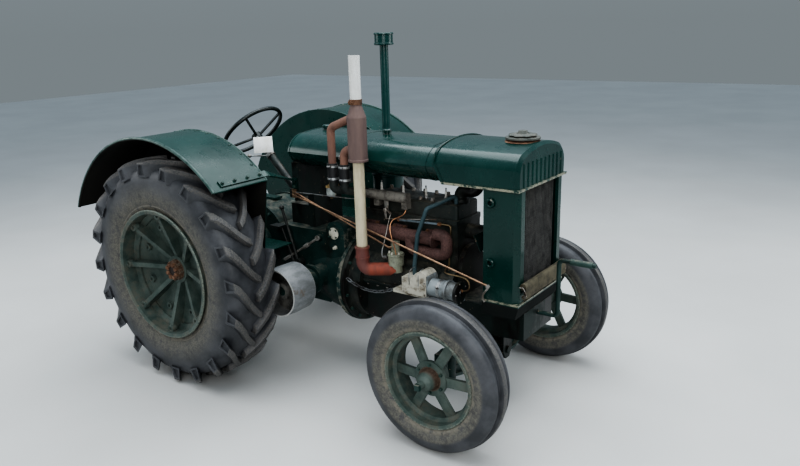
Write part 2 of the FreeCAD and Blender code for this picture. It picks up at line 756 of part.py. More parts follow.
def radius_rods():
    """A fork from the beam's two sides back to a ball under the sump."""
    x_axle = d.Wheelbase - d.BeamWidth / 2 + 4
    z_axle = d.FrontTyreRadius - d.BeamDrop - d.BeamHalf - 12 - d.SeatGap
    tail = point(1010, 0, d.SumpFloor - 34)
    bars = []
    for side in (-1, 1):
        start = point(x_axle, side * 126, z_axle)
        along = (tail - start).normalize()
        bars.append(Part.makeCylinder(13, (tail - start).Length - 15, start + along * 15, along))
        bars.append(Part.makeCylinder(24, 24, start - point(0, 0, 12), point(0, 0, 1)))
    bars.append(Part.makeSphere(26, tail))
    bars.append(Part.makeCylinder(16, 34 - d.SeatGap, tail, point(0, 0, 1)))
    return joined(bars)


keep(shape_item("radius_rods", radius_rods()), "radius_rods")


def tie_rod():
    """A straight rod with an eye at each end, under the knuckles' rear arms."""
    eye_z = -30
    solids = [Part.makeCylinder(d.TieRodRadius, 2 * d.KingpinY, point(0, -d.KingpinY, eye_z + 14), point(0, 1, 0))]
    for side in (-1, 1):
        solids.append(Part.makeCylinder(d.EyeRadius, 28, point(0, side * d.KingpinY, eye_z)))
    rod_shape = joined(solids)
    for side in (-1, 1):
        hole = Part.makeCylinder(d.BallRadius + d.RunFit, 60, point(0, side * d.KingpinY, eye_z - 10))
        rod_shape = rod_shape.cut(hole)
    return rod_shape


TIE_Z = "FrontTyreRadius - BossHalf - SeatGap - 18 - SeatGap"
keep(shape_item("tie_rod", tie_rod()), "tie_rod", "Wheelbase - TieArm", "0", TIE_Z)


def drag_link():
    """From the left knuckle's upper arm back to the drop arm, with an eye at each end."""
    front = point(d.Wheelbase, d.KingpinY - d.DragArm, d.FrontTyreRadius + d.BossHalf + 2 * d.SeatGap + 18 + 14)
    rear = point(d.SteerBoxX, d.KingpinY - d.DragArm, d.SteerBoxZ - d.DropArm)
    along = (rear - front).normalize()
    solids = [
        Part.makeCylinder(d.EyeRadius, 28, front - point(0, 0, 14)),
        Part.makeCylinder(d.DragRodRadius, (rear - front).Length - 32, front + along * 16, along),
        Part.makeCylinder(d.EyeRadius, 24, rear - point(0, 12, 0), point(0, 1, 0)),
    ]
    link = joined(solids)
    link = link.cut(Part.makeCylinder(d.BallRadius + d.RunFit, 60, front - point(0, 0, 30)))
    return link.cut(Part.makeCylinder(d.BallRadius + d.RunFit, 60, rear - point(0, 30, 0), point(0, 1, 0)))


keep(shape_item("drag_link", drag_link()), "drag_link")


def drop_arm():
    """Arm on the steering box's cross shaft, with its ball pin facing the drag link."""
    inner = "GearboxHalf + 62"
    pieces = (
        rod(("SteerBoxX", inner, "SteerBoxZ"), "y", "30", "22"),
        block(("SteerBoxX - 14", inner, "SteerBoxZ - DropArm"), "28", "22", "DropArm"),
        rod(("SteerBoxX", inner, "SteerBoxZ - DropArm"), "y", "20", "22"),
        rod(("SteerBoxX", inner, "SteerBoxZ - DropArm"), "y", "BallRadius", "40"),
    )
    return fuse("drop_arm", *pieces)


keep(drop_arm(), "drop_arm")


def dash_casting():
    """Steering gear housing and column, and the upright that carries the tank's rear end."""
    tilt = math.radians(d.SteerTilt)
    back = point(-math.cos(tilt), 0, math.sin(tilt))
    foot = point(d.SteerBoxX, 0, d.SteerBoxZ)
    base = d.GearboxTop + d.SeatGap
    housing = Part.makeBox(d.DashX - d.SteerBoxX + 64, 198, d.SteerBoxZ + 60 - base,
                           point(d.SteerBoxX - 60, -99, base))
    worm = Part.makeCylinder(44, 140, foot - back * 30, back)
    column = Part.makeCylinder(24, d.ColumnLength - 40, foot, back)
    shaft = Part.makeCylinder(11, d.ColumnLength, foot, back)
    boss = Part.makeCylinder(40, d.GearboxHalf + 62 - d.SeatGap, foot, point(0, 1, 0))
    stem = Part.makeBox(d.DashThick, 240, d.TankBase - base - 60, point(d.DashX, -120, base))
    panel = Part.makeBox(d.DashThick, 2 * d.DashHalf, 200, point(d.DashX, -d.DashHalf, d.TankBase - 160))
    room = Part.makeLoft([tank_section(d.DashX - 20, 1.004), tank_section(d.DashX + 90, 1.004)], True, True)
    return joined([housing, worm, column, shaft, boss, stem, panel]).cut(room)


def steering_wheel():
    """Rim of round bar on four spokes that rise from the hub."""
    hub = Part.makeCylinder(30, 34, point(0, 0, 0), point(0, 0, 1))
    ring = Part.makeTorus(d.SteerWheelRadius - d.SteerRimRadius, d.SteerRimRadius, point(0, 0, d.SteerDish + 12))
    solids = [hub, ring]
    for i in range(4):
        angle = math.radians(90 * i + 45)
        out = point(math.cos(angle), math.sin(angle), 0)
        start = out * 18 + point(0, 0, 20)
        end = out * (d.SteerWheelRadius - d.SteerRimRadius) + point(0, 0, d.SteerDish + 12)
        solids.append(Part.makeCylinder(8, (end - start).Length, start, end - start))
    wheel = joined(solids)
    wheel = wheel.cut(Part.makeCylinder(11 + d.RunFit, 24, point(0, 0, -1)))
    tilt = math.radians(d.SteerTilt)
    back = point(-math.cos(tilt), 0, math.sin(tilt))
    wheel.Placement = FreeCAD.Placement(point(0, 0, 0), FreeCAD.Rotation(point(0, 0, 1), back))
    return wheel


STEER_X = "SteerBoxX - (ColumnLength - 22) * cos(SteerTilt)"
STEER_Z = "SteerBoxZ + (ColumnLength - 22) * sin(SteerTilt)"


def steering_wheel_piece():
    wheel = steering_wheel()
    return shape_item("steering_wheel", Part.makeCompound([wheel]).Solids[0])


keep(steering_wheel_piece(), "steering_wheel", STEER_X, "0", STEER_Z)


# Castings that carry the tractor


def gearbox():
    """Bell housing flaring to its flange, the gear case behind it and the pulley's shaft."""
    pieces = (
        primitive("Cone", ("430", "0", "CrankZ"), "x", Radius1="178", Radius2="FlangeRadius - 20",
                  Height="FlangeX - 430"),
        rod(("FlangeX - FlangeWall", "0", "CrankZ"), "x", "FlangeRadius", "FlangeWall"),
        block(("GearboxRear", "-GearboxHalf", "GearboxBottom + 40"), "FlangeX - GearboxRear - 160", "2 * GearboxHalf",
              "GearboxTop - GearboxBottom - 40"),
        rod(("PulleyX", "-PulleyOuter + PulleyWidth - 40", "PulleyZ"), "y", "64", "PulleyOuter - PulleyWidth + 40"),
        rod(("PulleyX", "-PulleyOuter + 40", "PulleyZ"), "y", "PulleyShaft", "PulleyOuter - 60"),
        block(("WasherX - 70", "0", "WasherBase - SeatGap - 14"), "100", "WasherY + 60", "14"),
        rod(("PulleyX", "-PulleyOuter + PulleyWidth + 96", "PulleyZ"), "y", "84", "18"),
        rod(("PumpX", "-PumpOut", "PumpZ"), "y", "PumpRadius", "PumpOut - 50"),
        block(("PumpX - PumpRadius", "-PumpOut", "PumpZ - 150"), "2 * PumpRadius", "PumpOut - 50", "150"),
        rod(("PumpX", "-PumpOut - 12", "PumpZ"), "y", "PumpCover", "20"),
        rod(("PumpX - PumpRadius - 62", "-PumpOut + 40", "PumpZ - 46"), "x", "21", "70"),
        rod(("PumpX - PumpRadius - 62", "-PumpOut - 6", "PumpZ - 46"), "y", "21", "60"),
    )
    return fuse("gearbox", *pieces)


keep(gearbox(), "gearbox")


def rear_axle_case():
    """Worm housing, axle tubes and shafts."""
    pieces = [
        rod(("0", "-150", "RearTyreRadius"), "y", "WormRadius", "300"),
        block(("0", "-150", "RearTyreRadius - 190"), "GearboxRear - SeatGap", "300", "340"),
        rod(("0", "-RearWheelY + 96", "RearTyreRadius"), "y", "TrumpetRadius - 14", "2 * RearWheelY - 192"),
        rod(("0", "-520", "RearTyreRadius"), "y", "TrumpetRadius", "1040"),
        rod(("0", "-RearWheelY - 28", "RearTyreRadius"), "y", "AxleRadius", "2 * RearWheelY + 56"),
    ]
    for side in (-1, 1):
        pieces.append(rod(("0", f"{side} * 170 - 14", "RearTyreRadius"), "y", "150", "28"))
        pieces.append(rod(("0", f"{side} * 143 - 7", "RearTyreRadius"), "y", "WormRadius + LipOut", "14"))
        wide, narrow = ("150", "TrumpetRadius") if side > 0 else ("TrumpetRadius", "150")
        pieces.append(primitive("Cone", ("0", f"{side} * (184 + TrumpetFlare / 2) - TrumpetFlare / 2", "RearTyreRadius"),
                                "y", Radius1=wide, Radius2=narrow, Height="TrumpetFlare"))
    pieces.append(block(("GearboxRear - SeatGap - 18", "-150 - LipOut", "RearTyreRadius - 200"), "18",
                        "300 + 2 * LipOut", "356"))
    return fuse("rear_axle_case", *pieces)


keep(rear_axle_case(), "rear_axle_case")


def engine_block():
    """Crankcase with the narrower cylinder block on it and the rear bell ring."""
    body = new_body("block_casting")
    section = sketch_on(body, "YZ_Plane", "BlockRear")
    draw_polygon(section, (
        ("-CrankcaseHalf", "SumpTop + SeatGap"),
        ("CrankcaseHalf", "SumpTop + SeatGap"),
        ("CrankcaseHalf", "SumpTop + 90"),
        ("BlockHalf", "SumpTop + 150"),
        ("BlockHalf", "HeadBase"),
        ("-BlockHalf", "HeadBase"),
        ("-BlockHalf", "SumpTop + 150"),
        ("-CrankcaseHalf", "SumpTop + 90"),
    ))
    pad(body, section, "BlockFront - BlockRear")
    bell = sketch_on(body, "YZ_Plane", "FlangeX + SeatGap")
    draw_circle(bell, "0", "CrankZ", "FlangeRadius - 6")
    pad(body, bell, "FlangeWall")
    drum = sketch_on(body, "YZ_Plane", "FlangeX + SeatGap")
    draw_circle(drum, "0", "CrankZ", "FlangeRadius - 40")
    pad(body, drum, "BlockRear - FlangeX + 14")
    lower = sketch_on(body, "XZ_Plane")
    draw_polygon(lower, (
        ("BlockRear", "0"),
        ("BlockFront + 10", "0"),
        ("BlockFront + 10", "SumpTop + SeatGap"),
        ("BlockRear", "SumpTop + SeatGap"),
    ))
    cut(body, lower, "1200", both=True)
    pieces = [
        rod(("BlockFront - 4", "0", "FanZ"), "x", "40", "FanX - BlockFront - 6"),
        rod(("BlockFront - 4", "0", "FanZ"), "x", "12", "FanX - BlockFront + 28"),
        block(("BlockRear", "-CrankcaseHalf - LipOut", "SumpTop + SeatGap"), "BlockFront - BlockRear",
              "2 * (CrankcaseHalf + LipOut)", "LipHeight"),
        block(("BlockRear", "-BlockHalf - 6", "HeadBase - 12"), "BlockFront - BlockRear", "2 * BlockHalf + 12", "12"),
        block(("BlockFront - 4", "-BlockHalf", "SumpTop + SeatGap"), "TimingDepth + 4", "2 * BlockHalf", "140"),
        rod(("BlockFront - 4", "0", "SumpTop + SeatGap + 140"), "x", "BlockHalf", "TimingDepth + 4"),
    ]
    for share in (0.2, 0.5, 0.8):
        pieces.append(rod((f"BlockRear + {share} * (BlockFront - BlockRear)", "-BlockHalf - 4", "SumpTop + 200"), "y",
                          "PlugRadius", "2 * BlockHalf + 8"))
    return fuse("engine_block", body, *pieces)


keep(engine_block(), "engine_block")


def cylinder_head():
    """Head casting with the water outlet that rises to the header tank."""
    body = new_body("head_casting")
    plate = sketch_on(body, "XY_Plane", "HeadBase + SeatGap")
    draw_polygon(plate, (
        ("BlockRear + 10", "-BlockHalf + 8"),
        ("BlockFront - 6", "-BlockHalf + 8"),
        ("BlockFront - 6", "BlockHalf - 8"),
        ("BlockRear + 10", "BlockHalf - 8"),
    ))
    pad(body, plate, "HeadTop - HeadBase - SeatGap")
    round_edges(body, "14", lambda edge: runs_along(edge, "z") or edge.CenterOfMass.z > d.HeadTop - 1)
    foot = d.BlockFront - 50
    inlet = d.HeaderRear + d.HeaderSlope + 52
    level = d.HeadTop + 58
    outlet = shape_item("water_outlet", joined([
        pipe(((foot, 0, d.HeadTop - 10), (foot, 0, level), (inlet, 0, level), (inlet, 0, d.HeaderBase - d.SeatGap)),
             32, 36),
        Part.makeCylinder(48, 26, point(foot, 0, d.HeadTop - 10)),
    ]))
    lip = block(("BlockRear", "-BlockHalf - 6", "HeadBase + SeatGap"), "BlockFront - BlockRear", "2 * BlockHalf + 12",
                "14")
    return fuse("cylinder_head", body, outlet, lip)


keep(cylinder_head(), "cylinder_head")


def sump():
    """Structural oil pan, with the front support that carries radiator and axle."""
    body = new_body("oil_pan")
    pan = sketch_on(body, "XZ_Plane")
    draw_polygon(pan, (
        ("BlockRear + 16", "SumpTop"),
        ("BlockRear + 16", "SumpFloor + 30"),
        ("BlockRear + 60", "SumpFloor"),
        ("1360", "SumpFloor"),
        ("1460", "SumpFloor + 70"),
        ("RadiatorFront - 6", "SumpFloor + 90"),
        ("RadiatorFront - 6", "SumpTop"),
    ))
    pad(body, pan, "2 * CrankcaseHalf - 40", both=True)
    round_edges(body, "40", lambda edge: runs_along(edge, "x") and edge.CenterOfMass.z < d.SumpFloor + 1)
    for x in ("Wheelbase - BeamWidth / 2 - 30 - SeatGap", "Wheelbase + BeamWidth / 2 + 10 + SeatGap"):
        cheek = sketch_on(body, "YZ_Plane", x)
        draw_polygon(cheek, (
            ("-46", "SumpFloor + 92"),
            ("-46", "FrontTyreRadius - BeamDrop"),
            ("-20", "FrontTyreRadius - BeamDrop - 44"),
            ("20", "FrontTyreRadius - BeamDrop - 44"),
            ("46", "FrontTyreRadius - BeamDrop"),
            ("46", "SumpFloor + 92"),
        ))
        pad(body, cheek, "20")
    pin = sketch_on(body, "YZ_Plane", "Wheelbase - BeamWidth / 2 - 40")
    draw_circle(pin, "0", "FrontTyreRadius - BeamDrop", "PivotRadius")
    pad(body, pin, "BeamWidth + 80")
    lip = block(("BlockRear + 16", "-CrankcaseHalf - LipOut", "SumpTop - LipHeight"), "BlockFront - BlockRear - 16",
                "2 * (CrankcaseHalf + LipOut)", "LipHeight")
    drain = rod(("1100", "0", "SumpFloor - 10"), "z", "18", "20")
    return fuse("sump", body, lip, drain)


keep(sump(), "sump")


# Radiator


def radiator_side(side):
    body = new_body("side_casting")
    plan = sketch_on(body, "XY_Plane", "RadiatorBase - 10")
    inner = f"{side} * (RadiatorHalf - SideWall)"
    skin = f"{side} * (RadiatorHalf - 20)"
    outer = f"{side} * RadiatorHalf"
    draw_polygon(plan, (
        ("RadiatorRear", outer),
        ("RadiatorFront - 26", outer),
        ("RadiatorFront", f"{side} * (RadiatorHalf - 26)"),
        ("RadiatorFront", inner),
        ("RadiatorFront - 16", inner),
        ("RadiatorFront - 16", skin),
        ("RadiatorRear", skin),
    ))
    pad(body, plan, "HeaderBase - RadiatorBase + 10 - SeatGap")
    for z in ("RadiatorBase + 186", "HeaderBase - 64"):
        boss = sketch_on(body, "XZ_Plane", f"{-side} * RadiatorHalf")
        draw_circle(boss, "RadiatorRear + 38", z, "21")
        pad(body, boss, "4", back=side > 0)
        hole = sketch_on(body, "XZ_Plane", f"{-side} * (RadiatorHalf + 4)")
        draw_circle(hole, "RadiatorRear + 38", z, "SideBossHole")
        cut(body, hole, "16", back=side > 0)
    return body


def radiator_frame():
    """Side castings on a base with a protruding bead."""
    base = new_body("radiator_base")
    side_view = sketch_on(base, "XZ_Plane")
    draw_polygon(side_view, (
        ("RadiatorRear", "SumpTop + SeatGap"),
        ("RadiatorFront - 8", "SumpTop + SeatGap"),
        ("RadiatorFront + 6", "RadiatorBase - 18"),
        ("RadiatorFront + 6", "RadiatorBase"),
        ("RadiatorRear - 4", "RadiatorBase"),
        ("RadiatorRear - 4", "SumpTop + 40"),
    ))
    pad(base, side_view, "2 * RadiatorHalf + 12", both=True)
    return fuse("radiator_frame", base, radiator_side(-1), radiator_side(1))


keep(radiator_frame(), "radiator_frame")


def radiator_core():
    body = new_body("radiator_core")
    front = sketch_on(body, "YZ_Plane", "RadiatorRear + 20")
    half = "(RadiatorHalf - SideWall - SeatGap)"
    low = "RadiatorBase + SeatGap"
    high = "HeaderBase - SeatGap"
    draw_polygon(front, ((f"-{half}", low), (half, low), (half, high), (f"-{half}", high)))
    pad(body, front, "RadiatorFront - RadiatorRear - 50")
    return body


keep(radiator_core(), "radiator_core")


def header_section(x, shrink):
    """One section of the header tank: upright sides under a crowned top."""
    half = d.HeaderHalf - shrink
    crown = d.CrownZ - shrink
    knee = crown - 78
    return outline((
        (-half, d.HeaderBase),
        (half, d.HeaderBase),
        (half, knee - 20),
        (half - 22, knee + 26, "arc"),
        (half - 62, knee + 50),
        (0, crown, "arc"),
        (-half + 62, knee + 50),
        (-half + 22, knee + 26, "arc"),
        (-half, knee - 20),
    ), lambda y, z: point(x, y, z))


def radiator_header():
    long_tank = Part.makeLoft([
        header_section(d.HeaderRear, 0),
        header_section(d.RadiatorFront - 14, 0),
        header_section(d.RadiatorFront, 14),
    ], True, True)
    corner = Part.Face(Part.makePolygon([
        point(d.HeaderRear - 1, -d.HeaderHalf - 10, d.HeaderBase - 1),
        point(d.HeaderRear + d.HeaderSlope, -d.HeaderHalf - 10, d.HeaderBase - 1),
        point(d.HeaderRear - 1, -d.HeaderHalf - 10, d.HeaderBase + 84),
        point(d.HeaderRear - 1, -d.HeaderHalf - 10, d.HeaderBase - 1),
    ])).extrude(point(0, 2 * d.HeaderHalf + 20, 0))
    lip_half = d.HeaderHalf + d.HeaderLip
    lip = Part.Face(outline((
        (d.HeaderRear, d.HeaderBase + 84),
        (d.HeaderRear + d.HeaderSlope, d.HeaderBase),
        (d.RadiatorFront + d.HeaderLip, d.HeaderBase),
        (d.RadiatorFront + d.HeaderLip, d.HeaderBase + d.HeaderLipHeight),
        (d.HeaderRear + d.HeaderSlope + 6, d.HeaderBase + d.HeaderLipHeight),
        (d.HeaderRear, d.HeaderBase + 105),
    ), lambda x, z: point(x, -lip_half, z))).extrude(point(0, 2 * lip_half, 0))
    ribs = []
    for i in range(int(d.HeaderRibs)):
        y = d.HeaderRibSpan * (i / (d.HeaderRibs - 1) - 0.5)
        ribs.append(Part.makeCylinder(d.HeaderRibRadius, 0.62 * d.HeaderHeight, point(d.RadiatorFront, y, d.HeaderBase + 2)))
    return joined([long_tank.cut(corner), lip] + ribs)


keep(shape_item("radiator_header", radiator_header()), "radiator_header")


def filler_cap():
    body = new_body("filler_cap")
    profile = sketch_on(body, "XZ_Plane")
    draw_polygon(profile, (
        ("0", "0"),
        ("CapRadius - 22", "0"),
        ("CapRadius - 20", "6"),
        ("CapRadius", "8"),
        ("CapRadius", "16"),
        ("30", "22"),
        ("20", "46"),
        ("0", "48"),
    ))
    revolve(body, profile)
    return body


keep(filler_cap(), "filler_cap", "CapX", "0", "CrownZ + SeatGap")


# Fuel tank


def tank_section(x, scale):
    """Flattened oval, drawn with four arcs."""
    half = d.TankHalf * scale
    middle = 0.5 * (d.TankTop + d.TankBase)
    rise = 0.5 * (d.TankTop - d.TankBase) * scale
    return outline((
        (-half, middle),
        (-0.8 * half, middle + 0.68 * rise, "arc"),
        (-0.45 * half, middle + 0.92 * rise),
        (0, middle + rise, "arc"),
        (0.45 * half, middle + 0.92 * rise),
        (0.8 * half, middle + 0.68 * rise, "arc"),
        (half, middle),
        (0.8 * half, middle - 0.68 * rise, "arc"),
        (0.45 * half, middle - 0.92 * rise),
        (0, middle - rise, "arc"),
        (-0.45 * half, middle - 0.92 * rise),
        (-0.8 * half, middle - 0.68 * rise, "arc"),
    ), lambda y, z: point(x, y, z))


def fuel_tank():
    front = d.HeaderRear - d.SeatGap
    shell = Part.makeLoft([tank_section(d.TankRear + 46, 1), tank_section(front, 1)], True, True)
    dome = Part.makeLoft([
        tank_section(d.TankRear, 0.66),
        tank_section(d.TankRear + 14, 0.88),
        tank_section(d.TankRear + 46, 1),
    ], True, True)
    bands = [Part.makeLoft([tank_section(x, 1.014), tank_section(x + width, 1.014)], True, True)
             for x, width in ((d.TankRear + 46, 8), (d.TankRear + 420, 26), (front - 60, 8))]
    caps = []
    for x, radius in ((d.TankCapX, d.TankCapRadius), (d.SmallCapX, d.TankCapRadius - 6)):
        caps.append(turned_up((
            (0, d.TankTop - 6),
            (radius - 8, d.TankTop - 6),
            (radius - 8, d.TankTop + 8),
            (radius, d.TankTop + 8),
            (radius, d.TankTop + 22),
            (radius - 5, d.TankTop + 26),
            (0, d.TankTop + 28),
        ), x, 0))
    top = d.TankBase - d.BowlDrop
    bowl = turned_up((
        (0, top - 60),
        (d.BowlRadius - 10, top - 60),
        (d.BowlRadius - 3, top - 57, "arc"),
        (d.BowlRadius, top - 50),
        (d.BowlRadius, top - 8),
        (d.BowlRadius + 4, top - 8),
        (d.BowlRadius + 4, top),
        (10, top + 10),
        (10, d.TankBase + 40),
        (0, d.TankBase + 40),
    ), d.BowlX, -d.BowlY)
    return joined([shell, dome, bowl] + bands + caps)


keep(shape_item("fuel_tank", fuel_tank()), "fuel_tank")


keep(shape_item("dash_casting", dash_casting()), "dash_casting")


# Wings, footplate, seat and drawbar


def wing(side):
    """Arched top with a rolled bead, and the upright inner plate under it."""
    first = math.radians(d.WingFront)
    last = math.radians(d.WingRear)
    middle = 0.5 * (first + last)

    def on_arc(radius, angle):
        return radius * math.cos(angle), d.RearTyreRadius + radius * math.sin(angle)

    outer = d.WingRadius
    inner = d.WingRadius - d.WingSheet
    width = d.WingOuter - d.WingInner
    arch = outline((
        on_arc(outer, first),
        on_arc(outer, middle) + ("arc",),
        on_arc(outer, last),
        on_arc(inner, last),
        on_arc(inner, middle) + ("arc",),
        on_arc(inner, first),
    ), lambda x, z: point(x, side * d.WingInner, z))
    top = Part.Face(arch).extrude(point(0, side * width, 0))
    floor = d.RearTyreRadius + d.TrumpetRadius + d.SeatGap + d.PlateThick
    start = on_arc(outer, first)
    end = on_arc(outer, last)
    plate_wire = outline((
        start,
        on_arc(outer, middle) + ("arc",),
        end,
        (end[0] + 90, floor),
        (start[0] - 60, floor),
    ), lambda x, z: point(x, side * d.WingInner, z))
    plate = Part.Face(plate_wire).extrude(point(0, side * d.WingSheet, 0))
    rim_x, rim_z = on_arc(outer, first)
    section = Part.Face(Part.Wire([Part.Circle(
        point(rim_x, side * d.WingOuter, rim_z), point(-math.sin(first), 0, math.cos(first)), d.WingBead).toShape()]))
    bead = section.revolve(point(0, 0, d.RearTyreRadius), point(0, -1, 0), math.degrees(last - first))
    lines = []
    for out in (d.WingOuter - d.WingLine, d.WingInner):
        section = Part.Face(Part.Wire([Part.Circle(point(rim_x, side * out, rim_z), point(-math.sin(first), 0,
                                       math.cos(first)), d.WingLineRadius).toShape()]))
        lines.append(section.revolve(point(0, 0, d.RearTyreRadius), point(0, -1, 0), math.degrees(last - first)))
    for x, z in (start, end):
        lines.append(Part.makeCylinder(d.WingLineRadius, width, point(x, side * d.WingInner, z), point(0, side, 0)))
    return joined([top, plate, bead, wing_stay(side)] + lines)


def wing_stay(side):
    """Flat bar from the wing's front corner round to the dash casting."""
    angle = math.radians(d.WingFront + 3)
    out = point(math.cos(angle), 0, math.sin(angle)) * 4
    along = point(-math.sin(angle), 0, math.cos(angle)) * 18
    middle = point(0, 0, d.RearTyreRadius) + out * ((d.WingRadius + 3) / 4)
    foot = point(d.DashX + 20, 0, d.TankBase - 62)
    foot_y = d.DashHalf + d.SeatGap

    def section(centre, y, wide, thick):
        centre = centre + point(0, side * y, 0)
        corners = [centre - wide - thick, centre + wide - thick, centre + wide + thick, centre - wide + thick]
        return Part.makePolygon(corners + corners[:1])

    bars = [
        Part.makeLoft([section(middle, d.WingOuter - 60, along, out), section(middle, d.WingInner - 20, along, out)],
                      True, True),
        Part.makeLoft([section(middle, d.WingInner - 20, along, out),
                       section(foot, foot_y, point(18, 0, 0), point(0, 0, 6))], True, True),
        Part.makeBox(36, 8, 60, point(foot.x - 18, side * (foot_y + 4) - 4, foot.z - 46)),
    ]
    return joined(bars)


keep(shape_item("wings", Part.makeCompound([wing(-1), wing(1)])), "wings")


def footplate():
    """One plate each side of the gearbox, on the axle tubes."""
    plates = []
    for side in (-1, 1):
        near = "-WingInner - WingSheet" if side < 0 else "GearboxHalf + PlateGap"
        plates.append(block(("PlateRear", near, "RearTyreRadius + TrumpetRadius + SeatGap"),
                            "PlateFront - PlateRear", "WingInner + WingSheet - GearboxHalf - PlateGap", "PlateThick"))
    return fuse("footplate", *plates)


keep(footplate(), "footplate")


def seat():
    """Pressed pan bolted to a leaf spring that rises from the axle case."""
    bowl = 420
    centre = point(d.SeatX, 0, d.SeatZ + bowl)
    pan = Part.makeSphere(bowl, centre).cut(Part.makeSphere(bowl - 6, centre))
    pan = pan.common(Part.makeCylinder(d.SeatRadius, 90, point(d.SeatX, 0, d.SeatZ)))
    half = 32
    low = d.RearTyreRadius + d.WormRadius + d.SeatGap
    top = d.SeatZ + 3
    spring = outline((
        (60, low),
        (60, low + 12),
        (-60, low + 12),
        (d.SeatX + 90, top),
        (d.SeatX - 60, top),
        (d.SeatX - 60, top - 12),
        (d.SeatX + 98, top - 12),
        (-56, low),
    ), lambda x, z: point(x, -half, z))
    return joined([pan, Part.Face(spring).extrude(point(0, 2 * half, 0))])


keep(shape_item("seat", seat()), "seat")


def drawbar():
    """Flat bar with a lug that follows the round axle case, and a pin hole at its rear end."""
    pin_x = "-DrawbarEnd + DrawbarWidth / 2"
    bar = fuse("drawbar_bar",
               block((pin_x, "-DrawbarWidth / 2", "DrawbarZ"), "DrawbarEnd - DrawbarWidth / 2 - 90",
                     "DrawbarWidth", "DrawbarThick"),
               rod((pin_x, "0", "DrawbarZ"), "z", "DrawbarWidth / 2", "DrawbarThick"),
               block(("-220", "-70", "DrawbarZ"), "130", "140", "120"))
    room = fuse("drawbar_room",
                rod((pin_x, "0", "DrawbarZ - 10"), "z", "DrawbarPin", "DrawbarThick + 20"),
                rod(("0", "-300", "RearTyreRadius"), "y", "WormRadius + SeatGap", "600"))
    return subtract("drawbar", bar, room)


keep(drawbar(), "drawbar")


# Belt pulley and fan


def belt_pulley():
    """Open drum with its web set back and its hub on the drive shaft."""
    body = new_body("belt_pulley")
    profile = sketch_on(body, "XY_Plane")
    draw_polygon(profile, (
        ("PulleyShaft + RunFit", "-PulleyOuter + 40"),
        ("PulleyShaft + 24", "-PulleyOuter + 40"),
        ("PulleyShaft + 24", "-PulleyOuter + 84"),
        ("PulleyRadius - PulleyWall", "-PulleyOuter + 84"),
        ("PulleyRadius - PulleyWall", "-PulleyOuter"),
        ("PulleyRadius", "-PulleyOuter"),
        ("PulleyRadius + PulleyCrown", "-PulleyOuter + PulleyWidth / 2"),
        ("PulleyRadius", "-PulleyOuter + PulleyWidth"),
        ("PulleyRadius - PulleyWall", "-PulleyOuter + PulleyWidth"),
        ("PulleyRadius - PulleyWall", "-PulleyOuter + 94"),
        ("PulleyShaft + 24", "-PulleyOuter + 94"),
        ("PulleyShaft + 24", "-PulleyOuter + 116"),
        ("PulleyShaft + RunFit", "-PulleyOuter + 116"),
    ))
    revolve(body, profile)
    return body


keep(belt_pulley(), "belt_pulley", "PulleyX", "0", "PulleyZ")


def fan():
    """Hub with pitched blades."""
    hub = Part.makeCylinder(34, 44, point(0, 0, 0), point(1, 0, 0))
    solids = [hub]
    for i in range(int(d.FanBlades)):
        blade = Part.makeBox(3, 84, d.FanRadius - 28, point(-1.5, -42, 20))
        blade.rotate(point(0, 0, 0), point(0, 0, 1), 26)
        blade.translate(point(22, 0, 0))
        blade.rotate(point(0, 0, 0), point(1, 0, 0), 360 * i / d.FanBlades)
        solids.append(blade)
    return joined(solids).cut(Part.makeCylinder(12 + d.RunFit, 30, point(-1, 0, 0), point(1, 0, 0)))


keep(shape_item("fan", fan()), "fan", "FanX", "0", "FanZ")


# Open engine on the right side


def manifold():
    """Log with three ports into the block and a hanging U bend."""
    y = -d.BlockHalf - d.ManifoldOut
    level = d.ManifoldZ
    solids = [Part.makeCylinder(d.ManifoldRadius, 470, point(860, y, level), point(1, 0, 0))]
    for x in (900, 1080, 1290):
        solids.append(Part.makeCylinder(30, d.ManifoldOut - d.SeatGap, point(x, y, level), point(0, 1, 0)))
        solids.append(Part.makeBox(84, 12, 72, point(x - 42, -d.BlockHalf - d.SeatGap - 12, level - 36)))
    for x in (860, 1318):
        solids.append(Part.makeCylinder(d.ManifoldRadius + 8, 12, point(x, y, level), point(1, 0, 0)))
    solids.append(pipe(((1180, y - 4, level - 10), (1180, y - 4, level - 72), (1400, y - 4, level - 72),
                        (1400, y - 4, level + 30), (1330, y - 4, level + 30)), 30, 34))
    return joined(solids)


keep(shape_item("manifold", manifold()), "manifold")


def carburettor():
    """Float bowl, throat up to the manifold and the red mouth below."""
    x = d.CarbX
    y = -d.CarbY
    bowl = d.ManifoldZ - 158
    throat = d.ManifoldZ - d.ManifoldRadius - d.SeatGap
    return joined([
        Part.makeCylinder(d.CarbRadius, 64, point(x, y, bowl)),
        Part.makeCylinder(24, throat - bowl - 12, point(x - 20, y + 24, bowl + 12)),
        Part.makeCylinder(d.MouthRadius, 42, point(x, y, bowl - 38)),
    ])


keep(shape_item("carburettor", carburettor()), "carburettor")


def stack_pipe():
    """Elbow, upright pipe and tail, in one line."""
    x = d.StackX
    y = -d.StackY
    z = d.ElbowZ - 14
    run = pipe(((d.CarbX, -d.CarbY, z), (x, y, z), (x, y, d.ElbowTop)), d.ElbowRadius, 45)
    room = joined([
        Part.makeCylinder(d.MouthRadius + d.SeatGap, 100, point(d.CarbX, -d.CarbY, z - 50)),
        Part.makeCylinder(d.CarbRadius + d.SeatGap, 60, point(d.CarbX, -d.CarbY, 700 - d.SeatGap)),
    ])
    upright = Part.makeCylinder(d.StackPipe, d.SilencerBase - d.ElbowTop - d.SeatGap + 40,
                                point(x, y, d.ElbowTop - 40))
    return joined([run, upright]).cut(room)


keep(shape_item("stack_pipe", stack_pipe()), "stack_pipe")


# The two side tubes: x of the upright run, distance below the silencer's top where it leaves
SIDE_TUBES = ((788, 60), (868, 208))


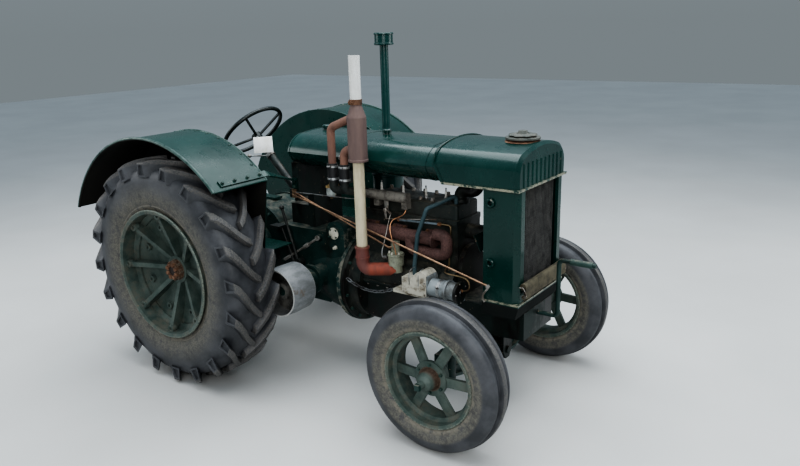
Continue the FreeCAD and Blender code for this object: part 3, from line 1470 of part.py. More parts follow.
def silencer():
    """Can with a coned top, its tail pipe, and two side tubes that turn down beside the tank."""
    x = d.StackX
    y = -d.StackY
    can = turned_up((
        (0, d.SilencerBase),
        (d.SilencerRadius + 3, d.SilencerBase),
        (d.SilencerRadius + 3, d.SilencerBase + 10),
        (d.SilencerRadius, d.SilencerBase + 13),
        (d.SilencerRadius, d.SilencerTop - 60),
        (d.TailRadius, d.SilencerTop),
        (d.TailRadius, d.StackTop),
        (d.TailRadius - 4, d.StackTop),
        (d.TailRadius - 4, d.SilencerTop),
        (0, d.SilencerTop),
    ), x, y)
    tubes = []
    for tube_x, drop in SIDE_TUBES:
        height = d.SilencerTop - drop
        tubes.append(pipe(((x - 20, y, height), (tube_x, y, height - 0.35 * (x - tube_x)),
                           (tube_x, y, d.HoseTop + d.SeatGap)), d.SideTubeRadius, 38))
    return joined([can] + tubes)


keep(shape_item("silencer", silencer()), "silencer")


def hose_pipes():
    """Rubber sleeves under the side tubes and the pipes that run on to the intake log."""
    y = -d.StackY
    log_y = -d.BlockHalf - 34
    log_z = d.HeadTop + 16
    head_y = -d.BlockHalf + 8 - d.SeatGap
    solids = [Part.makeCylinder(27, 290, point(866, log_y, log_z), point(1, 0, 0))]
    for x in (930, 1110):
        solids.append(Part.makeBox(34, head_y - log_y, 58, point(x, log_y, log_z - 62)))
    for tube_x, drop in SIDE_TUBES:
        solids.append(Part.makeCylinder(d.SideTubeRadius + 6, d.HoseTop - d.HoseBase, point(tube_x, y, d.HoseBase)))
        solids.append(pipe(((tube_x, y, d.HoseBase + 10), (tube_x, y, d.HoseBase - 44), (tube_x + 92, log_y, log_z)),
                           d.SideTubeRadius, 24))
    return joined(solids)


keep(shape_item("hose_pipes", hose_pipes()), "hose_pipes")


def air_washer():
    """Upright can with a domed top, the intake pipe and its cap."""
    body = new_body("air_washer")
    profile = sketch_on(body, "XZ_Plane")
    draw_polygon(profile, (
        ("0", "WasherBase"),
        ("WasherRadius - 20", "WasherBase"),
        ("WasherRadius", "WasherBase + 20"),
        ("WasherRadius", "WasherBase + 60"),
        ("WasherRadius + 5", "WasherBase + 64"),
        ("WasherRadius + 5", "WasherBase + 74"),
        ("WasherRadius", "WasherBase + 78"),
        ("WasherRadius", "WasherTop - 70"),
        ("WasherRadius + 5", "WasherTop - 66"),
        ("WasherRadius + 5", "WasherTop - 56"),
        ("WasherRadius", "WasherTop - 52"),
        ("WasherRadius", "WasherTop - 24"),
        ("WasherRadius - 24", "WasherTop"),
        ("IntakeRadius", "WasherTop"),
        ("IntakeRadius", "IntakeTop - IntakeCapHeight"),
        ("IntakeCapRadius - 3", "IntakeTop - IntakeCapHeight"),
        ("IntakeCapRadius", "IntakeTop - IntakeCapHeight + 4"),
        ("IntakeCapRadius", "IntakeTop - IntakeCapHeight + 10"),
        ("IntakeCapRadius - 4", "IntakeTop - IntakeCapHeight + 13"),
        ("IntakeCapRadius - 4", "IntakeTop - 13"),
        ("IntakeCapRadius", "IntakeTop - 10"),
        ("IntakeCapRadius", "IntakeTop - 4"),
        ("IntakeCapRadius - 3", "IntakeTop"),
        ("0", "IntakeTop"),
    ))
    revolve(body, profile)
    return body


keep(air_washer(), "air_washer", "WasherX", "WasherY", "0")


def magneto():
    """Magneto body with its rounded cap, on a shelf with the drive housing in front of it."""
    x = d.MagnetoX
    y = -d.MagnetoY
    z = d.MagnetoZ
    body = Part.makeBox(150, 96, 84, point(x - 75, y - 48, z - 42))
    cap = Part.makeCylinder(44, 96, point(x + 40, y - 48, z + 40), point(0, 1, 0))
    barrel = Part.makeCylinder(d.DriveRadius, 171, point(x + 74, y, z), point(1, 0, 0))
    collar = Part.makeCylinder(d.DriveRadius + 8, 14, point(x + 171, y, z), point(1, 0, 0))
    shelf = Part.makeBox(380, -y - d.CrankcaseHalf - d.SeatGap + 30, 18, point(x - 145, y - 30, z - 60))
    foot = Part.makeBox(60, 40, 20, point(x + 135, y, z - d.DriveRadius - 12))
    return joined([body, cap, barrel, collar, foot, shelf])


keep(shape_item("magneto", magneto()), "magneto")


def straight_rod(start, end, radius):
    start = point(*start)
    end = point(*end)
    return Part.makeCylinder(radius, (end - start).Length, start, end - start)


def controls():
    """Gear lever, hand brake, pedal, and the thin rods to the radiator and the carburettor."""
    side = -d.DashHalf - 6
    top = d.GearboxTop + d.SeatGap
    gear = joined([
        straight_rod((395, 142, top + 6), (330, 124, d.TankBase - 60), 9),
        Part.makeCylinder(22, 16, point(395, 142, top)),
        Part.makeSphere(22, point(330, 124, d.TankBase - 60)),
    ])
    flank = -d.GearboxHalf - d.SeatGap
    lever = joined([
        Part.makeCylinder(22, 46, point(396, flank - 46, 590), point(0, 1, 0)),
        straight_rod((396, flank - 34, 590), (290, flank - 34, 905), 8),
        Part.makeSphere(14, point(290, flank - 34, 905)),
    ])
    pedal = joined([
        Part.makeCylinder(20, 26, point(372, flank - 26, 500), point(0, 1, 0)),
        straight_rod((372, flank - 13, 500), (252, flank - 13, 790), 9),
        Part.makeBox(80, 60, 10, point(210, flank - 66, 786)),
    ])
    front = (d.RadiatorRear + 30, -d.RadiatorHalf - d.RodRadius - d.SeatGap, 703)
    throttle = (d.CarbX - 38, -d.CarbY - 9, d.ManifoldZ - 68)
    throat = point(d.CarbX - 20, -d.CarbY + 24, d.ManifoldZ - 68)
    inward = throat - point(*throttle)
    rods = joined([
        straight_rod((d.DashX - 10, side - 3, d.TankBase - 140), front, d.RodRadius),
        straight_rod((d.DashX - 10, side - 3, d.TankBase - 118), throttle, d.RodRadius),
        Part.makeCylinder(6, inward.Length - 24 - d.SeatGap, point(*throttle), inward),
        Part.makeBox(40, 12 - d.SeatGap, 50, point(d.DashX - 16, side - 6, d.TankBase - 160)),
    ])
    return Part.makeCompound([gear, lever, pedal, rods])


keep(shape_item("controls", controls()), "controls")


def lead_conduit():
    """Tube for the plug leads, from the magneto up past the manifold to the head."""
    y = -d.MagnetoY + 12
    x = d.MagnetoX
    return pipe(((x - 35, y, d.MagnetoZ + 42 + d.SeatGap), (x - 35, y, d.MagnetoZ + 92), (x - 13, y, d.HeadBase - 54),
                 (x + 36, y + 14, d.HeadTop - 6), (x + 122, -70, d.HeadTop + 44), (x + 122, -70, d.HeadTop + d.SeatGap)),
                11, 16)


keep(shape_item("lead_conduit", lead_conduit()), "lead_conduit")


def chain_link(length, width, bar):
    """One flat-sided link, lying along X in the XY plane."""
    def ring(shrink):
        half = length / 2 - shrink
        side = width / 2 - shrink
        nip = min(half, side) * 0.5
        corners = ((-half, -side + nip), (-half + nip, -side), (half - nip, -side), (half, -side + nip),
                   (half, side - nip), (half - nip, side), (-half + nip, side), (-half, side - nip))
        wire = Part.makePolygon([point(x, y, -bar / 2) for x, y in corners + corners[:1]])
        return Part.Face(wire).extrude(point(0, 0, bar))
    return ring(0).cut(ring(bar))


def slack_chain():
    """Links on a sagging line from the bell flange to the magneto's shelf."""
    start = point(d.FlangeX + d.FlangeWall + 9.5, -d.FlangeRadius + 26, 572)
    end = point(d.MagnetoX - 151.5 - d.SeatGap, -d.FlangeRadius + 28, 581)
    count = int(d.ChainLinks)
    sag = 44
    spots = []
    for i in range(count + 1):
        share = i / count
        spots.append(start + (end - start) * share - point(0, 0, sag * 4 * share * (1 - share)))
    links = []
    for i in range(count):
        along = spots[i + 1] - spots[i]
        link = chain_link(along.Length + 10, 19, 4.5)
        link.rotate(point(0, 0, 0), point(1, 0, 0), 90 * (i % 2) + 20)
        link.rotate(point(0, 0, 0), point(0, 1, 0), -math.degrees(math.atan2(along.z, along.x)))
        link.translate((spots[i] + spots[i + 1]) * 0.5)
        links.append(link)
    return Part.makeCompound(links)


keep(shape_item("slack_chain", slack_chain()), "slack_chain")


def blind_roll():
    """Rolled blind and its lower rail across the foot of the radiator."""
    x = d.RadiatorFront + d.SeatGap
    half = d.RadiatorHalf
    roll = Part.makeCylinder(17, 2 * half - 40, point(x + 17, 20 - half, 722), point(0, 1, 0))
    rail = Part.makeCylinder(10, 2 * half - 60, point(x + 24, 30 - half, 672), point(0, 1, 0))
    ends = [Part.makeBox(8, 10, 60, point(x + 18, y, 668)) for y in (40 - half, half - 50)]
    return joined([roll, rail] + ends)


keep(shape_item("blind_roll", blind_roll()), "blind_roll")


def starting_handle():
    """Shaft on the crankshaft line, arm up and grip forward."""
    start = d.RadiatorFront - 6 + d.SeatGap
    return pipe(((start, 0, d.CrankZ), (d.HandleArmX, 0, d.CrankZ), (d.HandleArmX, 0, d.HandleGripZ),
                 (d.HandleReach, 0, d.HandleGripZ)), d.HandleRadius, 24)


keep(shape_item("starting_handle", starting_handle()), "starting_handle")


def write_parts():
    doc.recompute()
    for item in doc.Objects:
        if {"Invalid", "Error"} & set(item.State):
            raise RuntimeError(f"{item.Label} is in state {item.State}")
    for part in sub_parts:
        shape = part.Shape
        if shape.isNull() or not shape.isValid() or not shape.Solids:
            raise RuntimeError(f"{part.Label} has no valid solid")
    os.makedirs("parts", exist_ok=True)
    for part in sub_parts:
        part.Shape.exportStep(f"parts/{part.Label}.step")
        box = part.Shape.BoundBox
        print(f"{part.Label}: {len(part.Shape.Solids)} solid, x {box.XMin:.0f} {box.XMax:.0f},"
              f" y {box.YMin:.0f} {box.YMax:.0f}, z {box.ZMin:.0f} {box.ZMax:.0f}")


write_parts()
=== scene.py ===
import math
import random
from contextlib import contextmanager

import bmesh
import bpy
from mathutils import Matrix, Vector


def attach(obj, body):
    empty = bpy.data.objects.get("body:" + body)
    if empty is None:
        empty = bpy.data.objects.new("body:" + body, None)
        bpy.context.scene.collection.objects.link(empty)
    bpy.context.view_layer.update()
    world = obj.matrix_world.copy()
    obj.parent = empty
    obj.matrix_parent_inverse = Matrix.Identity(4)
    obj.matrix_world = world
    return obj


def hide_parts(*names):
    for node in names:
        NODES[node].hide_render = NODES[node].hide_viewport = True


# Looks of the farm tractor, in metres: X forward, Y to its left, Z up, ground at Z = 0.

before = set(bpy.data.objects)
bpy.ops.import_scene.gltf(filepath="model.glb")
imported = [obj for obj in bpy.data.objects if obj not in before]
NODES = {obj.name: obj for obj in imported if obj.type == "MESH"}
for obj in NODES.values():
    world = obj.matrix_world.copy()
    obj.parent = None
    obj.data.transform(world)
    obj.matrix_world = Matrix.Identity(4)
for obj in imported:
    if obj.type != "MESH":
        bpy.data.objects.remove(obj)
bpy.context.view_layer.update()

# Places that the CAD settles, all in metres
ORIGIN_X = 0.690          # the rear axle lies this far behind the origin
REAR_WHEEL = Vector((-ORIGIN_X, 0.722, 0.635))
FRONT_WHEEL = Vector((1.600 - ORIGIN_X, 0.592, 0.365))
SIDES = ((-1, "right", "r"), (1, "left", "l"))


def from_axle(x, y, z):
    """A place measured in millimetres from the rear axle's line, as the CAD is drawn."""
    return Vector((x / 1000 - ORIGIN_X, y / 1000, z / 1000))


# Camera, light and floor


def set_camera():
    spot = from_axle(3244.1, -3060.5, 1899.0)
    ahead = Vector((-0.56988417, 0.77357354, -0.27715701)).normalized()
    level = ahead.cross(Vector((0, 0, 1))).normalized()
    upright = level.cross(ahead)
    roll = -0.029
    right = level * math.cos(roll) + upright * math.sin(roll)
    up = upright * math.cos(roll) - level * math.sin(roll)
    data = bpy.data.cameras.new("camera")
    data.sensor_width = 36
    data.lens = 717.6 / 800 * 36
    camera = bpy.data.objects.new("camera", data)
    turn = Matrix((right, up, -ahead)).transposed().to_4x4()
    camera.matrix_world = Matrix.Translation(spot) @ turn
    bpy.context.scene.collection.objects.link(camera)
    bpy.context.scene.camera = camera


def add_soft_light(name, spot, aim, size, power, colour=(1, 1, 1)):
    data = bpy.data.lights.new(name, "AREA")
    data.shape = "RECTANGLE"
    data.size, data.size_y = size
    data.energy = power
    data.color = colour
    lamp = bpy.data.objects.new(name, data)
    lamp.location = spot
    lamp.rotation_euler = (Vector(aim) - Vector(spot)).to_track_quat("-Z", "Y").to_euler()
    bpy.context.scene.collection.objects.link(lamp)


def set_stage():
    world = bpy.data.worlds.new("studio")
    bpy.context.scene.world = world
    world.use_nodes = True
    nodes, links = world.node_tree.nodes, world.node_tree.links
    background = nodes["Background"]
    background.inputs["Strength"].default_value = 0.62
    parts = nodes.new("ShaderNodeSeparateXYZ")
    ramp = nodes.new("ShaderNodeValToRGB")
    links.new(nodes.new("ShaderNodeTexCoord").outputs["Generated"], parts.inputs[0])
    links.new(parts.outputs["Z"], ramp.inputs["Fac"])
    links.new(ramp.outputs["Color"], background.inputs["Color"])
    bar = ramp.color_ramp
    bar.elements[0].position, bar.elements[0].color = 0.0, (0.30, 0.34, 0.36, 1)
    bar.elements[1].position, bar.elements[1].color = 0.85, (0.72, 0.86, 1.0, 1)
    middle = bar.elements.new(0.22)
    middle.color = (0.34, 0.40, 0.44, 1)
    bpy.context.scene.view_settings.look = "AgX - High Contrast"
    add_soft_light("overhead", (0.4, 0.2, 5.2), (0, 0, 0.6), (6.0, 5.0), 330, (0.93, 0.97, 1.0))
    add_soft_light("front_right", (3.6, -4.6, 3.0), (0, 0, 0.7), (3.4, 2.6), 150)
    add_soft_light("front_left", (4.4, 3.2, 2.6), (0.4, 0, 0.7), (3.0, 2.4), 70)
    add_soft_light("rear_right", (-4.2, -2.8, 2.8), (-0.4, 0, 0.7), (3.0, 2.4), 70)
    bpy.ops.mesh.primitive_plane_add(size=40)
    floor = bpy.context.active_object
    floor.name = "studio_floor"
    finish = Finish("pale_floor", rough=0.85)
    tone = finish.noise(0.7, detail=3)
    finish.colour(finish.ramp(tone, (0.35, (0.49, 0.49, 0.475)), (0.65, (0.53, 0.53, 0.515))))
    floor.data.materials.clear()
    floor.data.materials.append(finish.material)


# Finishes


class Finish:
    """One painted, cast or rubber surface, built from nodes on the object's own coordinates."""

    def __init__(self, name, rough=0.5, metal=0.0, coat=0.0, centre=(0, 0, 0)):
        self.material = bpy.data.materials.new(name)
        self.material.use_nodes = True
        self.tree = self.material.node_tree
        self.shader = self.tree.nodes["Principled BSDF"]
        self.shader.inputs["Roughness"].default_value = rough
        self.shader.inputs["Metallic"].default_value = metal
        self.shader.inputs["Coat Weight"].default_value = coat
        self.shader.inputs["Coat Roughness"].default_value = 0.12
        where = self.tree.nodes.new("ShaderNodeTexCoord").outputs["Object"]
        shift = self.node("Mapping")
        shift.inputs["Location"].default_value = [-value for value in centre]
        self.tree.links.new(where, shift.inputs["Vector"])
        self.where = shift.outputs["Vector"]

    def node(self, kind):
        return self.tree.nodes.new("ShaderNode" + kind)

    def link(self, source, socket):
        if hasattr(source, "links"):
            self.tree.links.new(source, socket)
        elif isinstance(source, tuple) and len(source) == 3 and socket.type == "RGBA":
            socket.default_value = (*source, 1)
        else:
            socket.default_value = source

    def noise(self, scale, detail=5, rough=0.6, stretch=None):
        """Cloudy pattern; stretch scales it along x, y and z."""
        pattern = self.node("TexNoise")
        pattern.inputs["Scale"].default_value = scale
        pattern.inputs["Detail"].default_value = detail
        pattern.inputs["Roughness"].default_value = rough
        where = self.where
        if stretch:
            pull = self.node("Mapping")
            pull.inputs["Scale"].default_value = stretch
            self.tree.links.new(where, pull.inputs["Vector"])
            where = pull.outputs["Vector"]
        self.tree.links.new(where, pattern.inputs["Vector"])
        return pattern.outputs["Fac"]

    def cells(self, scale, feature="F1"):
        pattern = self.node("TexVoronoi")
        pattern.feature = feature
        pattern.inputs["Scale"].default_value = scale
        self.tree.links.new(self.where, pattern.inputs["Vector"])
        return pattern.outputs["Distance"]

    def bands(self, scale, axis, bend=0.0):
        pattern = self.node("TexWave")
        pattern.bands_direction = axis
        pattern.inputs["Scale"].default_value = scale
        pattern.inputs["Distortion"].default_value = bend
        self.tree.links.new(self.where, pattern.inputs["Vector"])
        return pattern.outputs["Fac"]

    def math(self, work, first, second=0.0, clamp=False):
        step = self.node("Math")
        step.operation = work
        step.use_clamp = clamp
        self.link(first, step.inputs[0])
        self.link(second, step.inputs[1])
        return step.outputs[0]

    def axis(self, letter):
        parts = self.node("SeparateXYZ")
        self.tree.links.new(self.where, parts.inputs[0])
        return parts.outputs[letter]

    def reach(self, letters):
        """Distance from the centre, measured along the named axes only."""
        total = None
        for letter in letters:
            along = self.axis(letter)
            square = self.math("MULTIPLY", along, along)
            total = square if total is None else self.math("ADD", total, square)
        return self.math("SQRT", total)

    def upward(self):
        """How much the surface faces the sky."""
        geometry = self.node("NewGeometry")
        parts = self.node("SeparateXYZ")
        self.tree.links.new(geometry.outputs["Normal"], parts.inputs[0])
        return parts.outputs["Z"]

    def ramp(self, factor, *stops):
        """A colour or a number for each place on the way from 0 to 1."""
        step = self.node("ValToRGB")
        stops = [(at, tone if isinstance(tone, tuple) else (tone,) * 3) for at, tone in stops]
        bar = step.color_ramp
        for i, (at, tone) in enumerate(stops):
            stop = bar.elements[i] if i < 2 else bar.elements.new(at)
            stop.position = at
            stop.color = (*tone, 1)
        self.link(factor, step.inputs["Fac"])
        return step.outputs["Color"]

    def between(self, source, low, high, soft=True):
        """0 below low, 1 above high."""
        step = self.node("MapRange")
        step.interpolation_type = "SMOOTHSTEP" if soft else "LINEAR"
        step.inputs["From Min"].default_value = low
        step.inputs["From Max"].default_value = high
        self.link(source, step.inputs["Value"])
        return step.outputs["Result"]

    def mix(self, factor, first, second, kind="MIX"):
        step = self.node("Mix")
        step.data_type = "RGBA"
        step.blend_type = kind
        self.link(factor, step.inputs[0])
        self.link(first, step.inputs[6])
        self.link(second, step.inputs[7])
        return step.outputs[2]

    def colour(self, source):
        self.link(source, self.shader.inputs["Base Color"])

    def rough(self, source):
        self.link(source, self.shader.inputs["Roughness"])

    def metal(self, source):
        self.link(source, self.shader.inputs["Metallic"])

    def bumps(self, *layers):
        """Layers of (height, strength, depth in metres)."""
        normal = None
        for height, strength, depth in layers:
            step = self.node("Bump")
            step.inputs["Strength"].default_value = strength
            step.inputs["Distance"].default_value = depth
            self.link(height, step.inputs["Height"])
            if normal:
                self.tree.links.new(normal, step.inputs["Normal"])
            normal = step.outputs["Normal"]
        self.tree.links.new(normal, self.shader.inputs["Normal"])


def gloss_paint(name, deep, light, chips=0.68, dust=0.10, worn=None, arch=None, coat=0.30, foot=None):
    """Brushed-on gloss enamel: soft waves, thin dust on top, a few chips, and one worn band of heights.
    arch is the inner radius of a wing: the wing's underside over the wheel is painted shade, near-black and dull, and
    its beads carry a lighter painted highlight; below foot the paint is painted shade, near-black and dull."""
    finish = Finish(name, rough=0.25, coat=coat, centre=(-ORIGIN_X, 0, 0.635) if arch else (0, 0, 0))
    cloud = finish.noise(2.4, detail=6)
    fine = finish.noise(38, detail=6, rough=0.7)
    paint = finish.mix(finish.between(cloud, 0.35, 0.68), deep, light)
    dusty = finish.math("MULTIPLY", finish.between(finish.upward(), 0.2, 1.0), finish.between(fine, 0.42, 0.75))
    paint = finish.mix(finish.math("MULTIPLY", dusty, dust), paint, (0.10, 0.13, 0.11))
    if worn:
        height = finish.axis("Z")
        band = finish.math("MULTIPLY", finish.between(height, worn[0] - 0.001, worn[0] + 0.001),
                           finish.between(height, worn[1] + 0.001, worn[1] - 0.001))
        bare = finish.math("MULTIPLY", band, finish.between(finish.noise(26, detail=7, rough=0.75), 0.40, 0.52))
        paint = finish.mix(bare, paint, (0.25, 0.24, 0.18))
    chip = finish.math("MULTIPLY", finish.between(fine, chips, chips + 0.02),
                       finish.between(finish.noise(5, detail=2), 0.52, 0.62))
    paint = finish.mix(chip, paint, (0.30, 0.27, 0.22))
    gloss = finish.ramp(finish.noise(9, detail=5), (0.3, 0.20), (0.7, 0.38))
    finish.shader.inputs["Specular IOR Level"].default_value = 0.35
    under = None
    # Below the foot height the paint turns near-black, dull and without coat: painted shade under the radiator's
    # flange.
    if foot:
        under = finish.between(finish.axis("Z"), foot, foot - 0.002, soft=False)
    if arch:
        across = finish.math("ABSOLUTE", finish.axis("Y"))
        # Lighter green lines along the wing's outer edge and inner fold: painted highlight on the pressed beads.
        edges = finish.math("MAXIMUM", finish.between(across, 0.8738, 0.8765), finish.math(
            "MULTIPLY", finish.between(across, 0.5405, 0.5385), finish.between(finish.reach("XZ"), arch + 0.0009, arch + 0.0012)))
        edges = finish.math("MULTIPLY", edges, finish.between(finish.noise(17, detail=6, rough=0.7), 0.30, 0.60))
        paint = finish.mix(edges, paint, (0.066, 0.105, 0.094))
        # The wing's underside, inside the arch and over the wheel, is made near-black as painted shade.
        under = finish.math("MULTIPLY", finish.between(finish.reach("XZ"), arch + 0.0006, arch + 0.0002, soft=False),
                            finish.between(finish.math("ABSOLUTE", finish.axis("Y")), 0.5332, 0.5336, soft=False))
    # Where under holds, painted shade: near-black colour, high roughness and no coat.
    if under:
        paint = finish.mix(under, paint, finish.mix(finish.between(cloud, 0.4, 0.6), (0.006, 0.009, 0.008), (0.016, 0.015, 0.012)))
        gloss = finish.mix(under, gloss, (0.85, 0.85, 0.85))
        finish.link(finish.math("SUBTRACT", coat, finish.math("MULTIPLY", under, coat)), finish.shader.inputs["Coat Weight"])
    finish.colour(paint)
    finish.rough(gloss)
    finish.bumps((finish.noise(6, detail=2), 0.25, 0.004), (fine, 0.08, 0.001), (chip, 0.3, -0.0005))
    return finish.material


def cast_paint(name, deep, light, grime=(0.016, 0.014, 0.011), dirt=0.5, centre=(0, 0, 0), edge=0.0):
    """Painted sand casting with oil, dust and bare spots; edge is the radius where a round flange is worn bright."""
    finish = Finish(name, rough=0.55, centre=centre)
    cloud = finish.noise(7, detail=8, rough=0.65)
    grain = finish.noise(160, detail=4, rough=0.7)
    paint = finish.mix(finish.between(cloud, 0.35, 0.65), deep, light)
    oil = finish.between(finish.noise(4.5, detail=7, rough=0.7, stretch=(1, 1, 0.5)), dirt, dirt + 0.14)
    paint = finish.mix(oil, paint, grime)
    dust = finish.math("MULTIPLY", finish.between(finish.upward(), 0.45, 1.0),
                       finish.between(finish.noise(22, detail=6, rough=0.7), 0.40, 0.66))
    paint = finish.mix(finish.math("MULTIPLY", dust, 0.65), paint, (0.20, 0.18, 0.14))
    spots = finish.between(finish.noise(58, detail=3), 0.69, 0.72)
    if edge:
        rub = finish.math("MULTIPLY", finish.between(finish.reach("YZ"), edge - 0.001, edge + 0.0005),
                          finish.between(finish.math("ABSOLUTE", finish.axis("X")), 0.016, 0.014))
        rub = finish.math("MULTIPLY", rub, finish.between(finish.noise(24, detail=6, rough=0.7), 0.46, 0.58))
        paint = finish.mix(rub, paint, (0.17, 0.165, 0.135))
    finish.colour(finish.mix(spots, paint, (0.22, 0.16, 0.11)))
    finish.rough(finish.ramp(oil, (0.0, 0.56), (1.0, 0.30)))
    finish.bumps((grain, 0.35, 0.0012), (cloud, 0.3, 0.003))
    return finish.material


def wheel_paint(name, centre, rim_radius, rust_radius=0.0, nut_out=0.0, rust_end=None):
    """Faded green on a wheel centre, worn towards the rim's lip, dirt in the dish, rust on the nut or hub, and painted
    shade in the hollow middle of the rear nut.
    """
    finish = Finish(name, rough=0.6, centre=centre)
    cloud = finish.noise(9, detail=7, rough=0.65)
    fine = finish.noise(90, detail=5, rough=0.7)
    paint = finish.mix(finish.between(cloud, 0.32, 0.66), (0.034, 0.056, 0.048), (0.084, 0.108, 0.093))
    out = finish.reach("XZ")
    dirt = finish.math("MULTIPLY", finish.between(out, 0.5 * rim_radius, 0.95 * rim_radius),
                       finish.between(finish.noise(20, detail=7, rough=0.7), 0.44, 0.62))
    paint = finish.mix(finish.math("MULTIPLY", dirt, 0.7), paint, (0.110, 0.105, 0.082))
    lip = finish.math("MULTIPLY", finish.between(out, rim_radius - 0.012, rim_radius - 0.004),
                      finish.between(fine, 0.42, 0.56))
    paint = finish.mix(lip, paint, (0.16, 0.18, 0.15))
    scrape = finish.between(finish.noise(34, detail=6, rough=0.75), 0.66, 0.70)
    paint = finish.mix(scrape, paint, (0.20, 0.12, 0.07))
    if rust_radius:
        nut = finish.math("MULTIPLY", finish.between(out, rust_radius + 0.002, rust_radius - 0.004, soft=False),
                          finish.between(finish.math("ABSOLUTE", finish.axis("Y")), nut_out, nut_out + 0.004))
        strength = 0.6 if rust_end else 1.0
        rust = finish.ramp(fine, *((at, tuple(strength * c for c in tone)) for at, tone in (
            (0.30, (0.045, 0.026, 0.018)), (0.50, (0.125, 0.078, 0.052)), (0.70, (0.21, 0.16, 0.12)))))
        if rust_end:
            nut = finish.math("MULTIPLY", nut, finish.between(finish.math("ABSOLUTE", finish.axis("Y")), rust_end + 0.012, rust_end - 0.008))
        else:
            # Rear nut only: its middle is near-black, painted shade in the nut's hollow centre.
            rust = finish.mix(finish.between(out, 0.45 * rust_radius, 0.40 * rust_radius), rust, (0.022, 0.014, 0.011))
        paint = finish.mix(nut, paint, rust)
    finish.colour(paint)
    finish.rough(finish.ramp(fine, (0.3, 0.48), (0.7, 0.74)))
    finish.bumps((fine, 0.35, 0.001), (cloud, 0.25, 0.003))
    return finish.material


def tyre_rubber(name, centre, bead, tread, ring, crown_foot):
    """Weathered grey rubber: dried mud on a ring of the sidewall, dust on what is above the crown's foot."""
    finish = Finish(name, rough=0.72, centre=centre)
    cloud = finish.noise(7, detail=7, rough=0.62)
    fine = finish.noise(120, detail=5, rough=0.7)
    rubber = finish.mix(finish.between(cloud, 0.32, 0.68), (0.032, 0.034, 0.038), (0.076, 0.078, 0.085))
    out = finish.reach("XZ")
    scuff = finish.noise(34, detail=8, rough=0.75)
    near_rim = finish.between(out, ring[1], ring[0])
    mud = finish.math("MULTIPLY", near_rim, finish.between(scuff, 0.24, 0.60))
    rubber = finish.mix(mud, rubber, finish.mix(finish.between(fine, 0.35, 0.65), (0.092, 0.088, 0.077), (0.148, 0.140, 0.118)))
    cake = finish.math("MULTIPLY", finish.between(out, bead + 0.030, bead + 0.008), finish.between(scuff, 0.36, 0.56))
    rubber = finish.mix(cake, rubber, (0.172, 0.158, 0.128))
    crown = finish.math("MULTIPLY", finish.between(out, crown_foot, crown_foot + 0.010),
                        finish.between(fine, 0.35, 0.6))
    rubber = finish.mix(crown, rubber, (0.108, 0.102, 0.093))
    finish.colour(rubber)
    finish.rough(finish.mix(near_rim, finish.ramp(cloud, (0.3, 0.42), (0.7, 0.62)), (0.85, 0.85, 0.85)))
    finish.bumps((fine, 0.30, 0.0008), (scuff, 0.25, 0.0015), (cloud, 0.2, 0.002))
    return finish.material


def rusty_iron(name, dark, mid, bright, scale=30):
    finish = Finish(name, rough=0.8)
    cloud = finish.noise(scale * 0.3, detail=8, rough=0.65)
    fine = finish.noise(scale * 4, detail=5, rough=0.7)
    finish.colour(finish.mix(finish.between(fine, 0.45, 0.70),
                             finish.ramp(cloud, (0.32, dark), (0.50, mid), (0.70, bright)), dark))
    finish.rough(finish.ramp(fine, (0.3, 0.70), (0.7, 0.92)))
    finish.bumps((fine, 0.6, 0.001), (cloud, 0.4, 0.002))
    return finish.material


def two_tone_pipe(name, split, low, high, soft=0.006, rough=0.7, ribs=0.0, rear=None, arm=None):
    """One finish below a height and another above it, each with stains; rear and arm tint what lies past an x."""
    finish = Finish(name, rough=rough)
    wobble = finish.math("MULTIPLY", finish.math("SUBTRACT", finish.noise(30, detail=4), 0.5), 0.012)
    above = finish.between(finish.math("ADD", finish.axis("Z"), wobble), split - soft, split + soft)
    stain = finish.noise(14, detail=7, rough=0.7, stretch=(1, 1, 0.25))
    fine = finish.noise(130, detail=5, rough=0.7)
    lower = finish.mix(finish.between(stain, 0.35, 0.7), low[0], low[1])
    if arm:
        forward = finish.between(finish.axis("X"), arm[0] - 0.012, arm[0] + 0.020)
        lower = finish.mix(forward, lower, finish.mix(finish.between(stain, 0.35, 0.7), arm[1], arm[2]))
    upper = finish.mix(finish.between(stain, 0.35, 0.7), high[0], high[1])
    tone = finish.mix(above, lower, upper)
    if rear:
        tubes = finish.between(finish.axis("X"), rear[0] + 0.004, rear[0] - 0.004)
        tone = finish.mix(tubes, tone, finish.mix(finish.between(stain, 0.35, 0.7), rear[1], rear[2]))
    finish.colour(tone)
    layers = [(fine, 0.4, 0.001), (stain, 0.2, 0.002)]
    if ribs:
        layers.append((finish.bands(ribs, "Z", 1.5), 0.5, 0.0012))
    finish.bumps(*layers)
    return finish.material


def bare_metal(name, tone, dark, rough=0.35, metal=0.9, switch=None):
    """Metal with tarnish; switch gives another tone where a coordinate of the surface is past a limit."""
    finish = Finish(name, rough=rough, metal=metal)
    cloud = finish.noise(16, detail=7, rough=0.7)
    fine = finish.noise(140, detail=5, rough=0.7)
    tarnish = finish.between(cloud, 0.44, 0.64)
    colour = finish.mix(tarnish, tone, dark)
    if switch:
        letter, limit, other = switch
        past = finish.between(finish.axis(letter), limit, limit - 0.001, soft=False)
        colour = finish.mix(past, colour, finish.mix(tarnish, other[0], other[1]))
        finish.metal(finish.math("MULTIPLY", finish.math("SUBTRACT", 1.0, past), metal))
    finish.colour(colour)
    finish.rough(finish.ramp(fine, (0.3, rough), (0.7, min(0.95, rough + 0.3))))
    finish.bumps((fine, 0.3, 0.0006), (cloud, 0.2, 0.001))
    return finish.material


